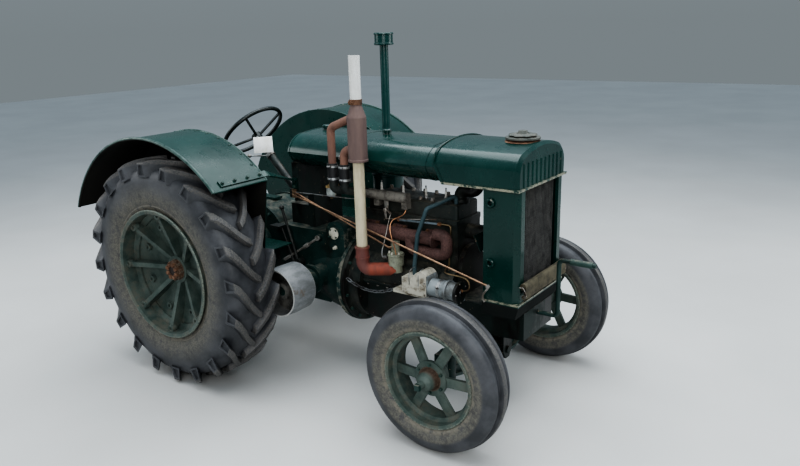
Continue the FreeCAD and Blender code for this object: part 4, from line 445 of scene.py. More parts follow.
def pulley_metal(name, centre, drum):
    """Bright drum face polished by the belt, a painted highlight on the rim's edge, and painted shade inside the drum.
    """
    finish = Finish(name, rough=0.4, centre=centre)
    fine = finish.noise(120, detail=6, rough=0.7)
    cloud = finish.noise(11, detail=7, rough=0.7)
    face = finish.between(finish.reach("XZ"), drum - 0.0085, drum - 0.0075, soft=False)
    rub = finish.noise(26, detail=6, rough=0.7, stretch=(1, 0.5, 1))
    bright = finish.mix(finish.between(rub, 0.35, 0.65), (0.34, 0.35, 0.36), (0.24, 0.25, 0.25))
    bright = finish.mix(finish.between(cloud, 0.60, 0.70), bright, (0.24, 0.20, 0.16))
    # Painted highlight: a near-white line on the edge of the drum's rim.
    lip = finish.between(finish.math("ABSOLUTE", finish.axis("Y")), 0.0815, 0.0822)
    bright = finish.mix(lip, bright, (0.60, 0.60, 0.58))
    # Painted shade: dark inside the drum, with a few lighter patches.
    inside = finish.mix(finish.between(cloud, 0.38, 0.62), (0.030, 0.034, 0.032), (0.17, 0.165, 0.15))
    finish.colour(finish.mix(face, inside, bright))
    finish.metal(finish.math("MULTIPLY", face, 0.45))
    finish.rough(finish.ramp(fine, (0.3, 0.32), (0.7, 0.58)))
    finish.bumps((fine, 0.3, 0.0006), (cloud, 0.25, 0.001))
    return finish.material


def tank_paint(name, deep, light, glass_top, stem_top):
    """Gloss enamel on the tank, glass on the bowl that hangs under it, and brass between them."""
    finish = Finish(name, rough=0.25, coat=0.35)
    finish.shader.inputs["Specular IOR Level"].default_value = 0.35
    cloud = finish.noise(2.4, detail=6)
    fine = finish.noise(38, detail=6, rough=0.7)
    paint = finish.mix(finish.between(cloud, 0.35, 0.68), deep, light)
    dusty = finish.math("MULTIPLY", finish.between(finish.upward(), 0.2, 1.0), finish.between(fine, 0.42, 0.75))
    paint = finish.mix(finish.math("MULTIPLY", dusty, 0.16), paint, (0.10, 0.13, 0.11))
    height = finish.axis("Z")
    brass = finish.mix(finish.between(fine, 0.4, 0.6), (0.42, 0.30, 0.14), (0.20, 0.14, 0.08))
    glass = finish.mix(finish.between(finish.noise(30, detail=4), 0.4, 0.6), (0.46, 0.51, 0.50), (0.30, 0.32, 0.30))
    low = finish.between(height, stem_top, stem_top - 0.001, soft=False)
    lowest = finish.between(height, glass_top, glass_top - 0.001, soft=False)
    finish.colour(finish.mix(lowest, finish.mix(low, paint, brass), glass))
    finish.rough(finish.ramp(finish.noise(9, detail=5), (0.3, 0.16), (0.7, 0.32)))
    finish.bumps((finish.noise(6, detail=2), 0.25, 0.004), (fine, 0.08, 0.001))
    return finish.material


def stained_casting(name, light, dark, front=None):
    """Unpainted light alloy or old enamel, stained brown in patches; front is (x, light, dark) for what lies forward of x."""
    finish = Finish(name, rough=0.55)
    cloud = finish.noise(18, detail=7, rough=0.7)
    fine = finish.noise(150, detail=5, rough=0.7)
    tone = finish.ramp(cloud, (0.34, dark), (0.52, light), (0.75, tuple(min(1, 1.15 * c) for c in light)))
    if front:
        tone = finish.mix(finish.between(finish.axis("X"), front[0] - 0.001, front[0]), tone,
                          finish.mix(finish.between(cloud, 0.4, 0.6), front[1], front[2]))
    finish.colour(tone)
    finish.rough(finish.ramp(fine, (0.3, 0.42), (0.7, 0.68)))
    finish.bumps((fine, 0.35, 0.0008), (cloud, 0.25, 0.0016))
    return finish.material


def fin_block(name):
    finish = Finish(name, rough=0.55)
    fins = finish.bands(52, "Z")
    tubes = finish.bands(16, "Y")
    cloud = finish.noise(8, detail=6)
    # The near-black stripes between the fin lines are painted shade in the gaps of the core.
    tone = finish.mix(finish.between(fins, 0.25, 0.7), (0.012, 0.012, 0.012), (0.070, 0.069, 0.066))
    tone = finish.mix(finish.between(tubes, 0.72, 0.95), tone, (0.030, 0.030, 0.029))
    finish.colour(finish.mix(finish.between(cloud, 0.48, 0.72), tone, (0.090, 0.080, 0.062)))
    finish.bumps((fins, 0.9, 0.003), (tubes, 0.4, 0.002))
    return finish.material


def canvas(name):
    finish = Finish(name, rough=0.9)
    warp = finish.bands(420, "Y")
    weft = finish.bands(420, "X")
    stain = finish.noise(20, detail=6, rough=0.65)
    finish.colour(finish.mix(finish.between(stain, 0.38, 0.66), (0.118, 0.104, 0.068), (0.058, 0.050, 0.034)))
    finish.bumps((warp, 0.25, 0.0006), (weft, 0.25, 0.0006), (stain, 0.4, 0.002))
    return finish.material


def black_rubber(name, tone=(0.014, 0.014, 0.015), rough=0.5):
    finish = Finish(name, rough=rough)
    fine = finish.noise(110, detail=5, rough=0.7)
    cloud = finish.noise(12, detail=5)
    finish.colour(finish.mix(finish.between(cloud, 0.5, 0.75), tone, tuple(c + 0.045 for c in tone)))
    finish.rough(finish.ramp(fine, (0.3, rough - 0.1), (0.7, rough + 0.2)))
    finish.bumps((fine, 0.3, 0.0006), (cloud, 0.15, 0.002))
    return finish.material


GREEN = gloss_paint("gloss_green", (0.004, 0.030, 0.025), (0.008, 0.046, 0.038), worn=(1.1718, 1.1824))
TANK_GREEN = tank_paint("tank_green", (0.004, 0.030, 0.025), (0.008, 0.046, 0.038), 1.054, 1.148)
FRAME_GREEN = gloss_paint("frame_green", (0.004, 0.030, 0.024), (0.008, 0.045, 0.036), worn=(0.626, 0.634), foot=0.622)
WING_GREEN = gloss_paint("wing_green", (0.004, 0.029, 0.023), (0.008, 0.044, 0.035), chips=0.66, dust=0.03, coat=0.10)
ARCH_GREEN = gloss_paint("arch_green", (0.004, 0.029, 0.023), (0.008, 0.044, 0.035), chips=0.655, dust=0.05, arch=0.741, coat=0.10)
CASTING = cast_paint("casting_green", (0.006, 0.026, 0.022), (0.014, 0.042, 0.036))
BELL = cast_paint("bell_green", (0.006, 0.026, 0.022), (0.016, 0.045, 0.040), centre=(0.748 - ORIGIN_X, 0, 0.518), edge=0.2595)
GREASY = cast_paint("greasy_iron", (0.012, 0.020, 0.018), (0.044, 0.046, 0.038), grime=(0.012, 0.010, 0.009), dirt=0.47)
# Sump paint is nearly black: oily grime, and painted shade under the engine.
SUMP = cast_paint("sump_green", (0.003, 0.010, 0.008), (0.006, 0.017, 0.014), grime=(0.007, 0.007, 0.006), dirt=0.42)
DASH = cast_paint("dash_iron", (0.005, 0.013, 0.011), (0.012, 0.022, 0.019), grime=(0.008, 0.007, 0.006), dirt=0.45)
STACK_GREEN = gloss_paint("stack_green", (0.006, 0.040, 0.036), (0.011, 0.058, 0.052))
WHEEL_FINISH = {
    "rear_wheel_right": wheel_paint("rear_wheel_right_paint", (-ORIGIN_X, -0.722, 0.635), 0.362, 0.061, 0.026),
    "rear_wheel_left": wheel_paint("rear_wheel_left_paint", (-ORIGIN_X, 0.722, 0.635), 0.362, 0.061, 0.026),
    "front_wheel_right": wheel_paint("front_wheel_right_paint", (0.910, -0.592, 0.365), 0.235, 0.060, 0.040, 0.072),
    "front_wheel_left": wheel_paint("front_wheel_left_paint", (0.910, 0.592, 0.365), 0.235, 0.060, 0.040, 0.072),
}
RUBBER = {
    "rear_tyre_right": tyre_rubber("rear_rubber_right", (-ORIGIN_X, -0.722, 0.635), 0.362, 0.635, (0.410, 0.530), 0.603),
    "rear_tyre_left": tyre_rubber("rear_rubber_left", (-ORIGIN_X, 0.722, 0.635), 0.362, 0.635, (0.410, 0.530), 0.603),
    "front_tyre_right": tyre_rubber("front_rubber_right", (0.910, -0.592, 0.365), 0.235, 0.365, (0.286, 0.304), 0.357),
    "front_tyre_left": tyre_rubber("front_rubber_left", (0.910, 0.592, 0.365), 0.235, 0.365, (0.286, 0.304), 0.357),
}
RUST = rusty_iron("orange_rust", (0.10, 0.035, 0.016), (0.30, 0.115, 0.045), (0.46, 0.22, 0.10))
MANIFOLD = rusty_iron("manifold_rust", (0.050, 0.026, 0.022), (0.105, 0.055, 0.048), (0.160, 0.088, 0.075))
STACK = two_tone_pipe("lagged_stack", 0.806, ((0.190, 0.070, 0.058), (0.120, 0.052, 0.045)),
                      ((0.56, 0.50, 0.36), (0.38, 0.33, 0.22)), ribs=55,
                      arm=(1.000 - ORIGIN_X, (0.28, 0.068, 0.040), (0.155, 0.052, 0.038)))
SILENCER = two_tone_pipe("silencer_paint", 1.552, ((0.105, 0.070, 0.066), (0.155, 0.105, 0.090)),
                         ((0.66, 0.67, 0.66), (0.50, 0.50, 0.47)),
                         rear=(0.912 - ORIGIN_X, (0.20, 0.105, 0.075), (0.115, 0.062, 0.050)))
STEEL = bare_metal("bare_steel", (0.42, 0.43, 0.43), (0.17, 0.15, 0.13))
PULLEY = pulley_metal("pulley_steel", (0.574 - ORIGIN_X, -0.479, 0.545), 0.131)
COPPER = bare_metal("copper_rod", (0.50, 0.33, 0.22), (0.24, 0.15, 0.105),
                    switch=("X", 0.430 - ORIGIN_X, ((0.016, 0.020, 0.018), (0.045, 0.045, 0.040))))
OFF_WHITE = stained_casting("stained_alloy", (0.50, 0.48, 0.40), (0.14, 0.11, 0.075))
MAGNETO = stained_casting("magneto_alloy", (0.46, 0.44, 0.37), (0.14, 0.11, 0.075),
                          front=(1.350 - ORIGIN_X, (0.24, 0.265, 0.275), (0.12, 0.125, 0.12)))
BOWL = stained_casting("bowl_alloy", (0.24, 0.25, 0.19), (0.08, 0.075, 0.055))
CORE = fin_block("radiator_fins")
CANVAS = canvas("blind_canvas")
HOSE = black_rubber("hose_rubber")
WHEEL_BLACK = black_rubber("steering_rim", (0.007, 0.012, 0.011), 0.30)
CONDUIT = cast_paint("conduit_blue", (0.030, 0.060, 0.070), (0.055, 0.094, 0.104), dirt=0.60)
CAP = two_tone_pipe("cap_disc", 1.3730, ((0.16, 0.085, 0.055), (0.07, 0.04, 0.03)),
                    ((0.060, 0.070, 0.062), (0.125, 0.120, 0.102)), soft=0.0008, rough=0.5)
BOLT_GREEN = cast_paint("painted_bolts", (0.010, 0.036, 0.030), (0.030, 0.065, 0.054), dirt=0.56)
BOLT_STEEL = bare_metal("bolt_steel", (0.40, 0.38, 0.35), (0.15, 0.11, 0.085), rough=0.45)
BOLT_RUST = rusty_iron("bolt_rust", (0.055, 0.028, 0.018), (0.15, 0.075, 0.042), (0.25, 0.15, 0.095), scale=60)
BRASS = bare_metal("brass_pipe", (0.33, 0.25, 0.15), (0.16, 0.115, 0.075))
LOG = bare_metal("intake_log", (0.21, 0.195, 0.17), (0.075, 0.068, 0.058), rough=0.55, metal=0.15,
                 switch=("X", 0.905 - ORIGIN_X, ((0.012, 0.017, 0.015), (0.030, 0.031, 0.027))))
PIPE_COPPER = bare_metal("copper_pipe", (0.52, 0.28, 0.16), (0.24, 0.12, 0.08))
PALE_PIPE = bare_metal("pale_pipe", (0.20, 0.25, 0.28), (0.10, 0.12, 0.125), rough=0.45, metal=0.3)
CHAIN = bare_metal("chain_steel", (0.26, 0.27, 0.28), (0.075, 0.070, 0.065), rough=0.4, metal=0.7)
ROD_GREY = bare_metal("rod_grey", (0.28, 0.27, 0.25), (0.13, 0.115, 0.095), rough=0.5, metal=0.3)
PORCELAIN = stained_casting("porcelain", (0.58, 0.57, 0.53), (0.28, 0.25, 0.21))
CARD = stained_casting("card_paper", (0.80, 0.80, 0.78), (0.66, 0.65, 0.60))
FINS = rusty_iron("dusty_fins", (0.036, 0.036, 0.035), (0.092, 0.091, 0.087), (0.150, 0.147, 0.138), scale=60)
DRIVE_GREY = bare_metal("drive_grey", (0.26, 0.29, 0.30), (0.15, 0.16, 0.16), rough=0.5, metal=0.2)

NODE_FINISH = {
    "gearbox": BELL, "rear_axle_case": CASTING, "engine_block": GREASY, "cylinder_head": GREASY,
    "sump": SUMP, "front_axle": CASTING, "radius_rods": CASTING, "radiator_frame": FRAME_GREEN,
    "radiator_core": CORE, "radiator_header": GREEN, "filler_cap": CAP, "fuel_tank": TANK_GREEN,
    "dash_casting": DASH, "wings": ARCH_GREEN, "footplate": WING_GREEN, "seat": WING_GREEN,
    "drawbar": CASTING, "manifold": MANIFOLD, "carburettor": BOWL, "stack_pipe": STACK,
    "silencer": SILENCER, "hose_pipes": LOG, "controls": COPPER, "lead_conduit": CONDUIT,
    "slack_chain": CHAIN, "blind_roll": CANVAS, "air_washer": STACK_GREEN, "magneto": MAGNETO,
    "starting_handle": CASTING, "knuckle_right": CASTING, "knuckle_left": CASTING, "tie_rod": CASTING,
    "drag_link": CASTING, "drop_arm": CASTING, "steering_wheel": WHEEL_BLACK, "belt_pulley": PULLEY,
    "fan": CASTING, **WHEEL_FINISH, **RUBBER,
}


def dress(piece, material):
    piece.data.materials.clear()
    piece.data.materials.append(material)


for name, node in NODES.items():
    dress(node, NODE_FINISH[name])

set_camera()
set_stage()


# Making pieces by hand operations


def clear_selection():
    if bpy.context.mode != "OBJECT":
        bpy.ops.object.mode_set(mode="OBJECT")
    bpy.ops.object.select_all(action="DESELECT")


def take(piece):
    clear_selection()
    piece.select_set(True)
    bpy.context.view_layer.objects.active = piece
    return piece


def start(kind, **sizes):
    """A new primitive, alone in the selection."""
    clear_selection()
    getattr(bpy.ops.mesh, f"primitive_{kind}_add")(**sizes)
    return bpy.context.active_object


@contextmanager
def editing(piece):
    take(piece)
    bpy.ops.object.mode_set(mode="EDIT")
    bpy.ops.mesh.select_mode(type="VERT")
    bpy.ops.mesh.select_all(action="SELECT")
    yield
    bpy.ops.object.mode_set(mode="OBJECT")


def choose(piece, kind, test):
    """Select only the verts, edges or faces for which the test holds."""
    bpy.ops.mesh.select_mode(type={"verts": "VERT", "edges": "EDGE", "faces": "FACE"}[kind])
    bpy.ops.mesh.select_all(action="DESELECT")
    mesh = bmesh.from_edit_mesh(piece.data)
    for element in getattr(mesh, kind):
        if test(element):
            element.select_set(True)
    bmesh.update_edit_mesh(piece.data)


def slide(step):
    bpy.ops.transform.translate(value=tuple(step))


def tidy_shell(gap=0.00002):
    bpy.ops.mesh.select_all(action="SELECT")
    bpy.ops.mesh.remove_doubles(threshold=gap)
    bpy.ops.mesh.normals_make_consistent(inside=False)


def modify(piece, kind, **settings):
    take(piece)
    modifier = piece.modifiers.new(kind.lower(), kind)
    for name, value in settings.items():
        setattr(modifier, name, value)
    bpy.ops.object.modifier_apply(modifier=modifier.name)
    return piece


def soften(piece, width, segments=2, angle=35):
    """Round the hard edges."""
    return modify(piece, "BEVEL", width=width, segments=segments, limit_method="ANGLE",
                  angle_limit=math.radians(angle))


def shade(piece, angle=35):
    take(piece)
    bpy.ops.object.shade_smooth_by_angle(angle=math.radians(angle))
    return piece


def set_in_place(piece):
    take(piece)
    bpy.ops.object.transform_apply(location=True, rotation=True, scale=True)
    return piece


def finish_piece(piece, name, body, material, angle=35):
    """Name a piece, give it its finish and let it ride on a CAD body."""
    set_in_place(piece)
    piece.name = name
    piece.data.name = name
    dress(piece, material)
    shade(piece, angle)
    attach(piece, body)
    return piece


def draw_line(points):
    """A chain of edges through the points, drawn by extruding one vertex."""
    piece = start("plane", size=0.01)
    with editing(piece):
        bpy.ops.mesh.merge(type="CENTER")
        slide(points[0])
        for before, after in zip(points, points[1:]):
            step = tuple(Vector(after) - Vector(before))
            bpy.ops.mesh.extrude_region_move(TRANSFORM_OT_translate={"value": step})
    return piece


def spin_round(points, centre, axis, steps=64):
    """A turned piece: the line of points spun all the way round the axis."""
    piece = draw_line(points)
    with editing(piece):
        bpy.ops.mesh.spin(steps=steps, angle=math.tau, center=tuple(centre), axis=tuple(axis))
        tidy_shell()
    return piece


def turned_about_y(profile, centre, side=1, steps=96):
    """Turned piece from (radius, outward distance) pairs about a wheel's axle."""
    points = [Vector(centre) + Vector((radius, side * out, 0)) for radius, out in profile]
    return spin_round(points, centre, (0, 1, 0), steps)


def turned_about_z(profile, centre, steps=48):
    points = [Vector(centre) + Vector((radius, 0, up)) for radius, up in profile]
    return spin_round(points, centre, (0, 0, 1), steps)


def drawn_through(rings):
    """A bar with one ring of corners after another, extruded from the first ring to the last."""
    count = len(rings[0])
    piece = start("circle", vertices=count, radius=0.01, fill_type="NGON")
    corners = [vert.co.copy() for vert in piece.data.vertices]

    def at_end(face):
        return len(face.verts) == count and all(
            any((vert.co - corner).length < 1e-6 for corner in corners) for vert in face.verts)

    with editing(piece):
        for number, ring in enumerate(rings):
            if number:
                choose(piece, "faces", at_end)
                bpy.ops.mesh.extrude_region_move(TRANSFORM_OT_translate={"value": (0, 0, 0)})
            mesh = bmesh.from_edit_mesh(piece.data)
            fresh = {vert.index: vert.co.copy() for vert in mesh.verts if vert.select}
            for corner, goal in zip(corners, ring):
                near = min(fresh, key=lambda index: (fresh[index] - corner).length)
                fresh.pop(near)
                choose(piece, "verts", lambda vert: vert.index == near)
                slide(Vector(goal) - corner)
            corners[:] = [Vector(goal) for goal in ring]
        tidy_shell()
    return piece


def copies_at(piece, places):
    """The piece repeated at each placement matrix, each copy with its own mesh, joined into one."""
    made = []
    for place in places:
        copy = piece.copy()
        copy.data = piece.data.copy()
        bpy.context.scene.collection.objects.link(copy)
        copy.matrix_world = place @ piece.matrix_world
        made.append(copy)
    bpy.data.objects.remove(piece)
    return joined(made)


def joined(pieces):
    clear_selection()
    for piece in pieces:
        piece.select_set(True)
    bpy.context.view_layer.objects.active = pieces[0]
    bpy.ops.object.join()
    piece = bpy.context.active_object
    return set_in_place(piece)


def looking(spot, direction, turn=0.0):
    """Placement of a piece made along +Z at the origin."""
    quarter = Vector(direction).to_track_quat("Z", "Y").to_matrix().to_4x4()
    return Matrix.Translation(Vector(spot)) @ quarter @ Matrix.Rotation(turn, 4, "Z")


def put(piece, spot, way=(0, 0, 1), turn=0.0):
    """Take a piece made along +Z at the origin to its spot, pointing a way."""
    piece.matrix_world = looking(spot, way, turn) @ piece.matrix_world
    return set_in_place(piece)


def turned(profile, spot, way=(0, 0, 1), steps=24):
    """Turned piece from (radius, height) pairs, standing on a spot and pointing a way."""
    return put(turned_about_z(profile, Vector((0, 0, 0)), steps), spot, way)


def band(radius, thick, width, spot, way=(0, 0, 1), steps=32):
    """Flat ring round a pipe."""
    half = width / 2
    outer = radius + thick
    return turned(((radius, -half), (outer, -half), (outer, half), (radius, half), (radius, -half)), spot, way, steps)


def bent_pipe(points, radius, fine=6):
    """Rigid pipe or wire along a smooth line held by its control points."""
    curve = bpy.data.curves.new("run", "CURVE")
    curve.dimensions = "3D"
    line = curve.splines.new("NURBS")
    line.points.add(len(points) - 1)
    for knot, place in zip(line.points, points):
        knot.co = (*place, 1)
    line.order_u = 3
    line.use_endpoint_u = True
    curve.resolution_u = fine
    curve.bevel_depth = radius
    curve.bevel_resolution = 2
    curve.use_fill_caps = True
    run = bpy.data.objects.new("run", curve)
    bpy.context.scene.collection.objects.link(run)
    take(run)
    bpy.ops.object.convert(target="MESH")
    return bpy.context.active_object


def plate(corners, depth, round_off=0.0):
    """Flat plate: corners in order round its face, and a vector for its thickness."""
    low = [Vector(corner) for corner in corners]
    piece = drawn_through([low, [corner + Vector(depth) for corner in low]])
    return soften(piece, round_off, 2, 50) if round_off else piece


def hex_head(across, height, washer, corners=6):
    """Bolt head on its washer, made along +Z at the origin."""
    head = start("cylinder", vertices=corners, radius=across / 2 / math.cos(math.pi / corners), depth=height)
    disc = start("cylinder", vertices=16, radius=washer / 2, depth=0.003)
    for piece, lift, rise in ((head, height / 2 + 0.002, 0.13 * height), (disc, 0.0012, 0.0006)):
        with editing(piece):
            slide((0, 0, lift))
            choose(piece, "faces", lambda face: face.normal.z > 0.9)
            bpy.ops.mesh.inset(thickness=0.1 * across)
            slide((0, 0, rise))
    return joined([head, disc])


def bolts(name, body, places, across, height, finish, washer=1.5, corners=6):
    """Bolt heads at (spot, way) pairs, each turned its own way."""
    dice = random.Random(name)
    head = hex_head(across, height, washer * across, corners)
    made = copies_at(head, [looking(spot, way, dice.uniform(0, math.tau)) for spot, way in places])
    return finish_piece(made, name, body, finish, 30)


def round_axle(centre, side, radius, out, count, first=0.0):
    """Spots on a circle about a level axle, with the way that they face."""
    for i in range(count):
        angle = first + math.tau * i / count
        yield centre + Vector((radius * math.cos(angle), side * out, radius * math.sin(angle))), (0, side, 0)


# Tyres


def rear_tyre(side, hand, letter):
    """Carcass with chevron lugs whose shoulder ends are hollow."""
    centre = Vector((REAR_WHEEL.x, side * REAR_WHEEL.y, REAR_WHEEL.z))
    carcass = turned_about_y((
        (0.350, -0.112), (0.352, -0.118), (0.372, -0.128), (0.380, -0.132), (0.386, -0.131), (0.398, -0.136),
        (0.430, -0.144), (0.470, -0.147), (0.510, -0.145), (0.545, -0.138), (0.568, -0.126), (0.584, -0.104),
        (0.594, -0.070), (0.598, -0.035), (0.599, 0.0), (0.598, 0.035), (0.594, 0.070), (0.584, 0.104),
        (0.568, 0.126), (0.545, 0.138), (0.510, 0.145), (0.470, 0.147), (0.430, 0.144), (0.398, 0.136),
        (0.386, 0.131), (0.380, 0.132), (0.372, 0.128), (0.352, 0.118), (0.350, 0.112), (0.350, -0.112),
    ), centre, 1, 120)
    # Along one lug: outward distance, degrees behind its tip, foot, top, half thickness
    stations = (
        (-0.012, -0.4, 0.592, 0.6345, 0.0195),
        (0.022, 2.2, 0.590, 0.6345, 0.0235),
        (0.060, 6.4, 0.586, 0.6345, 0.0265),
        (0.096, 11.6, 0.575, 0.6335, 0.0280),
        (0.126, 15.6, 0.548, 0.6290, 0.0290),
        (0.1505, 17.8, 0.538, 0.6150, 0.0295),
    )
    lugs = []
    for flank in (-1, 1):
        rings = []
        for out, lag, foot, top, half in stations:
            angle = math.radians(-lag)
            along = Vector((math.sin(angle), 0, math.cos(angle)))
            across = Vector((math.cos(angle), 0, -math.sin(angle)))
            level = Vector((0, flank * out, 0))
            rings.append([along * foot - across * half * 1.25 + level, along * foot + across * half * 1.25 + level,
                          along * top + across * half * 0.85 + level, along * top - across * half * 0.85 + level])
        lug = drawn_through(rings)
        with editing(lug):
            choose(lug, "faces", lambda face: abs(face.calc_center_median().y - flank * 0.1505) < 0.001)
            bpy.ops.mesh.inset(thickness=0.0120)
            bpy.ops.mesh.extrude_region_move(TRANSFORM_OT_translate={"value": (0, -flank * 0.011, 0)})
            tidy_shell()
        soften(lug, 0.0022, 2, 40)
        pitch = math.tau / 20
        places = [Matrix.Translation(centre) @ Matrix.Rotation(flank * pitch / 4 + i * pitch, 4, "Y")
                  for i in range(20)]
        lugs.append(copies_at(lug, places))
    tyre = joined([carcass] + lugs)
    finish_piece(tyre, f"lugged_tyre_{hand}", f"rear_wheel_{letter}", RUBBER[f"rear_tyre_{hand}"], 32)
    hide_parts(f"rear_tyre_{hand}")


def front_tyre(side, hand, letter):
    """Three-rib tyre with beads at the rim."""
    centre = Vector((FRONT_WHEEL.x, side * FRONT_WHEEL.y, FRONT_WHEEL.z))
    half = (
        (0.3650, 0.0), (0.3648, 0.013), (0.3630, 0.0165), (0.3455, 0.0200), (0.3430, 0.0240), (0.3430, 0.0380),
        (0.3450, 0.0415), (0.3490, 0.0430), (0.3530, 0.0480), (0.3520, 0.0560), (0.3440, 0.0680),
        (0.3300, 0.0775), (0.3120, 0.0850), (0.2940, 0.0885), (0.2750, 0.0875), (0.2610, 0.0820),
        (0.2530, 0.0780), (0.2480, 0.0785), (0.2440, 0.0760), (0.2360, 0.0700), (0.2240, 0.0600),
    )
    profile = [(radius, -out) for radius, out in reversed(half)] + list(half[1:]) + [(0.2240, -0.0600)]
    tyre = turned_about_y(profile, centre, 1, 112)
    finish_piece(tyre, f"ribbed_tyre_{hand}", f"front_wheel_{letter}", RUBBER[f"front_tyre_{hand}"], 40)
    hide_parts(f"front_tyre_{hand}")


# Wheels


def wheel_fittings(side, hand, letter):
    """Eyes on the rear rims, the lobed crown of the rear hub nut, bolts of the front hubs, and the square end of the
    front hub's cap.
    """
    rear = Vector((REAR_WHEEL.x, side * REAR_WHEEL.y, REAR_WHEEL.z))
    eye = turned(((0.0090, -0.020), (0.0235, -0.020), (0.0230, 0.004), (0.0210, 0.0085), (0.0110, 0.0085),
                  (0.0090, 0.006), (0.0090, -0.020)), Vector((0, 0, 0)), steps=20)
    eyes = copies_at(eye, [looking(spot, way) for spot, way in round_axle(rear, side, 0.325, 0.112, 8)])
    finish_piece(eyes, f"rim_eyes_{hand}", f"rear_wheel_{letter}", WHEEL_FINISH[f"rear_wheel_{hand}"])
    lobe = turned(((0.0125, -0.010), (0.0125, 0.006), (0.0105, 0.009), (0.0050, 0.010), (0.0, 0.010)), Vector((0, 0, 0)), steps=16)
    crown = copies_at(lobe, [looking(spot, way) for spot, way in round_axle(rear, side, 0.0375, 0.064, 8, 0.39)])
    finish_piece(crown, f"nut_crown_{hand}", f"rear_wheel_{letter}", BOLT_RUST)
    front = Vector((FRONT_WHEEL.x, side * FRONT_WHEEL.y, FRONT_WHEEL.z))
    bolts(f"hub_bolts_{hand}", f"front_wheel_{letter}", round_axle(front, side, 0.069, 0.0415, 6, math.radians(30)),
          0.013, 0.008, BOLT_GREEN, 1.3)
    bolts(f"hub_tip_{hand}", f"front_wheel_{letter}", [(front + Vector((0, side * 0.136, 0)), (0, side, 0))],
          0.026, 0.012, BOLT_GREEN, 1.45, 4)


for side, hand, letter in SIDES:
    rear_tyre(side, hand, letter)
    front_tyre(side, hand, letter)
    wheel_fittings(side, hand, letter)


# Castings


def casting_bolts():
    """Bolts of the bell flange, axle case, sump and head."""
    bell = []
    for i in range(16):
        angle = math.tau * (i + 0.5) / 16
        ring = Vector((0, math.cos(angle), math.sin(angle)))
        low = 518 + 250 * math.sin(angle) < 730
        if low:
            bell.append((from_axle(736, 0, 518) + 0.250 * ring, (-1, 0, 0)))
        if i != 7:
            bell.append((from_axle(784.3, 0, 518) + 0.240 * ring, (1, 0, 0)))
    bolts("bell_bolts", "tractor", bell, 0.015, 0.009, BOLT_GREEN, 1.35)
    case = []
    for side in (-1, 1):
        case += round_axle(from_axle(0, 0, 635), side, 0.232, 0.150, 14, 0.1)
    bolts("case_bolts", "tractor", case, 0.017, 0.010, BOLT_GREEN)
    low_row = [(from_axle(x, side * 171, 550), (0, 0, -1)) for side in (-1, 1) for x in range(890, 1411, 65)]
    bolts("sump_bolts", "tractor", low_row, 0.013, 0.007, BOLT_STEEL, 1.3)
    head = [(from_axle(x, side * 76, 1032), (0, 0, 1)) for side in (-1, 1) for x in range(885, 1406, 75)
            if x < 1400 or side > 0]
    bolts("head_nuts", "tractor", head, 0.018, 0.014, BOLT_STEEL, 1.4)
    pump = list(round_axle(from_axle(672, 0, 800), -1, 0.053, 0.178, 6, math.radians(30)))
    pump += round_axle(from_axle(672, 0, 800), -1, 0.028, 0.190, 4, math.radians(45))
    bolts("pump_bolts", "tractor", pump, 0.009, 0.006, BOLT_GREEN, 1.3)
    ports = [(from_axle(x + dx, -124, z), (0, -1, 0)) for x in (900, 1080, 1290) for dx in (-33, 33)
             for z in (830, 886)]
    bolts("manifold_nuts", "tractor", ports, 0.013, 0.009, BOLT_RUST, 1.3)


def pump_cover():
    """Pressed round cover with a raised middle, and the plug under it."""
    cover = turned(((0.034, 0.000), (0.034, 0.003), (0.031, 0.005), (0.022, 0.005), (0.018, 0.010), (0.0, 0.012)),
                   from_axle(672, -190, 800), (0, -1, 0), 32)
    plug = turned(((0.011, 0.0), (0.011, 0.010), (0.008, 0.013), (0.008, 0.022), (0.0, 0.023)),
                  from_axle(672, -178, 716), (0, -1, 0), 18)
    finish_piece(joined([cover, plug]), "pump_cover", "tractor", OFF_WHITE)


casting_bolts()
pump_cover()


# Radiator and its canvas blind


def core_face():
    """Thin plates across the front of the core and the flat tubes that run through them."""
    low, high, half = 0.636, 1.169, 0.178
    x = from_axle(1801.8, 0, 0).x
    fin = plate([(x, -half, low), (x + 0.0032, -half, low), (x + 0.0032, -half, low + 0.0011),
                 (x, -half, low + 0.0011)], (0, 2 * half, 0))
    modify(fin, "ARRAY", count=58, use_relative_offset=False, use_constant_offset=True,
           constant_offset_displace=(0, 0, (high - low) / 57.2))
    tube = plate([(x, -half, low), (x + 0.0044, -half, low), (x + 0.0044, 0.0024 - half, low),
                  (x, 0.0024 - half, low)], (0, 0, high - low))
    modify(tube, "ARRAY", count=23, use_relative_offset=False, use_constant_offset=True,
           constant_offset_displace=(0, (2 * half - 0.0024) / 22, 0))
    finish_piece(joined([fin, tube]), "core_fins", "tractor", FINS, 20)


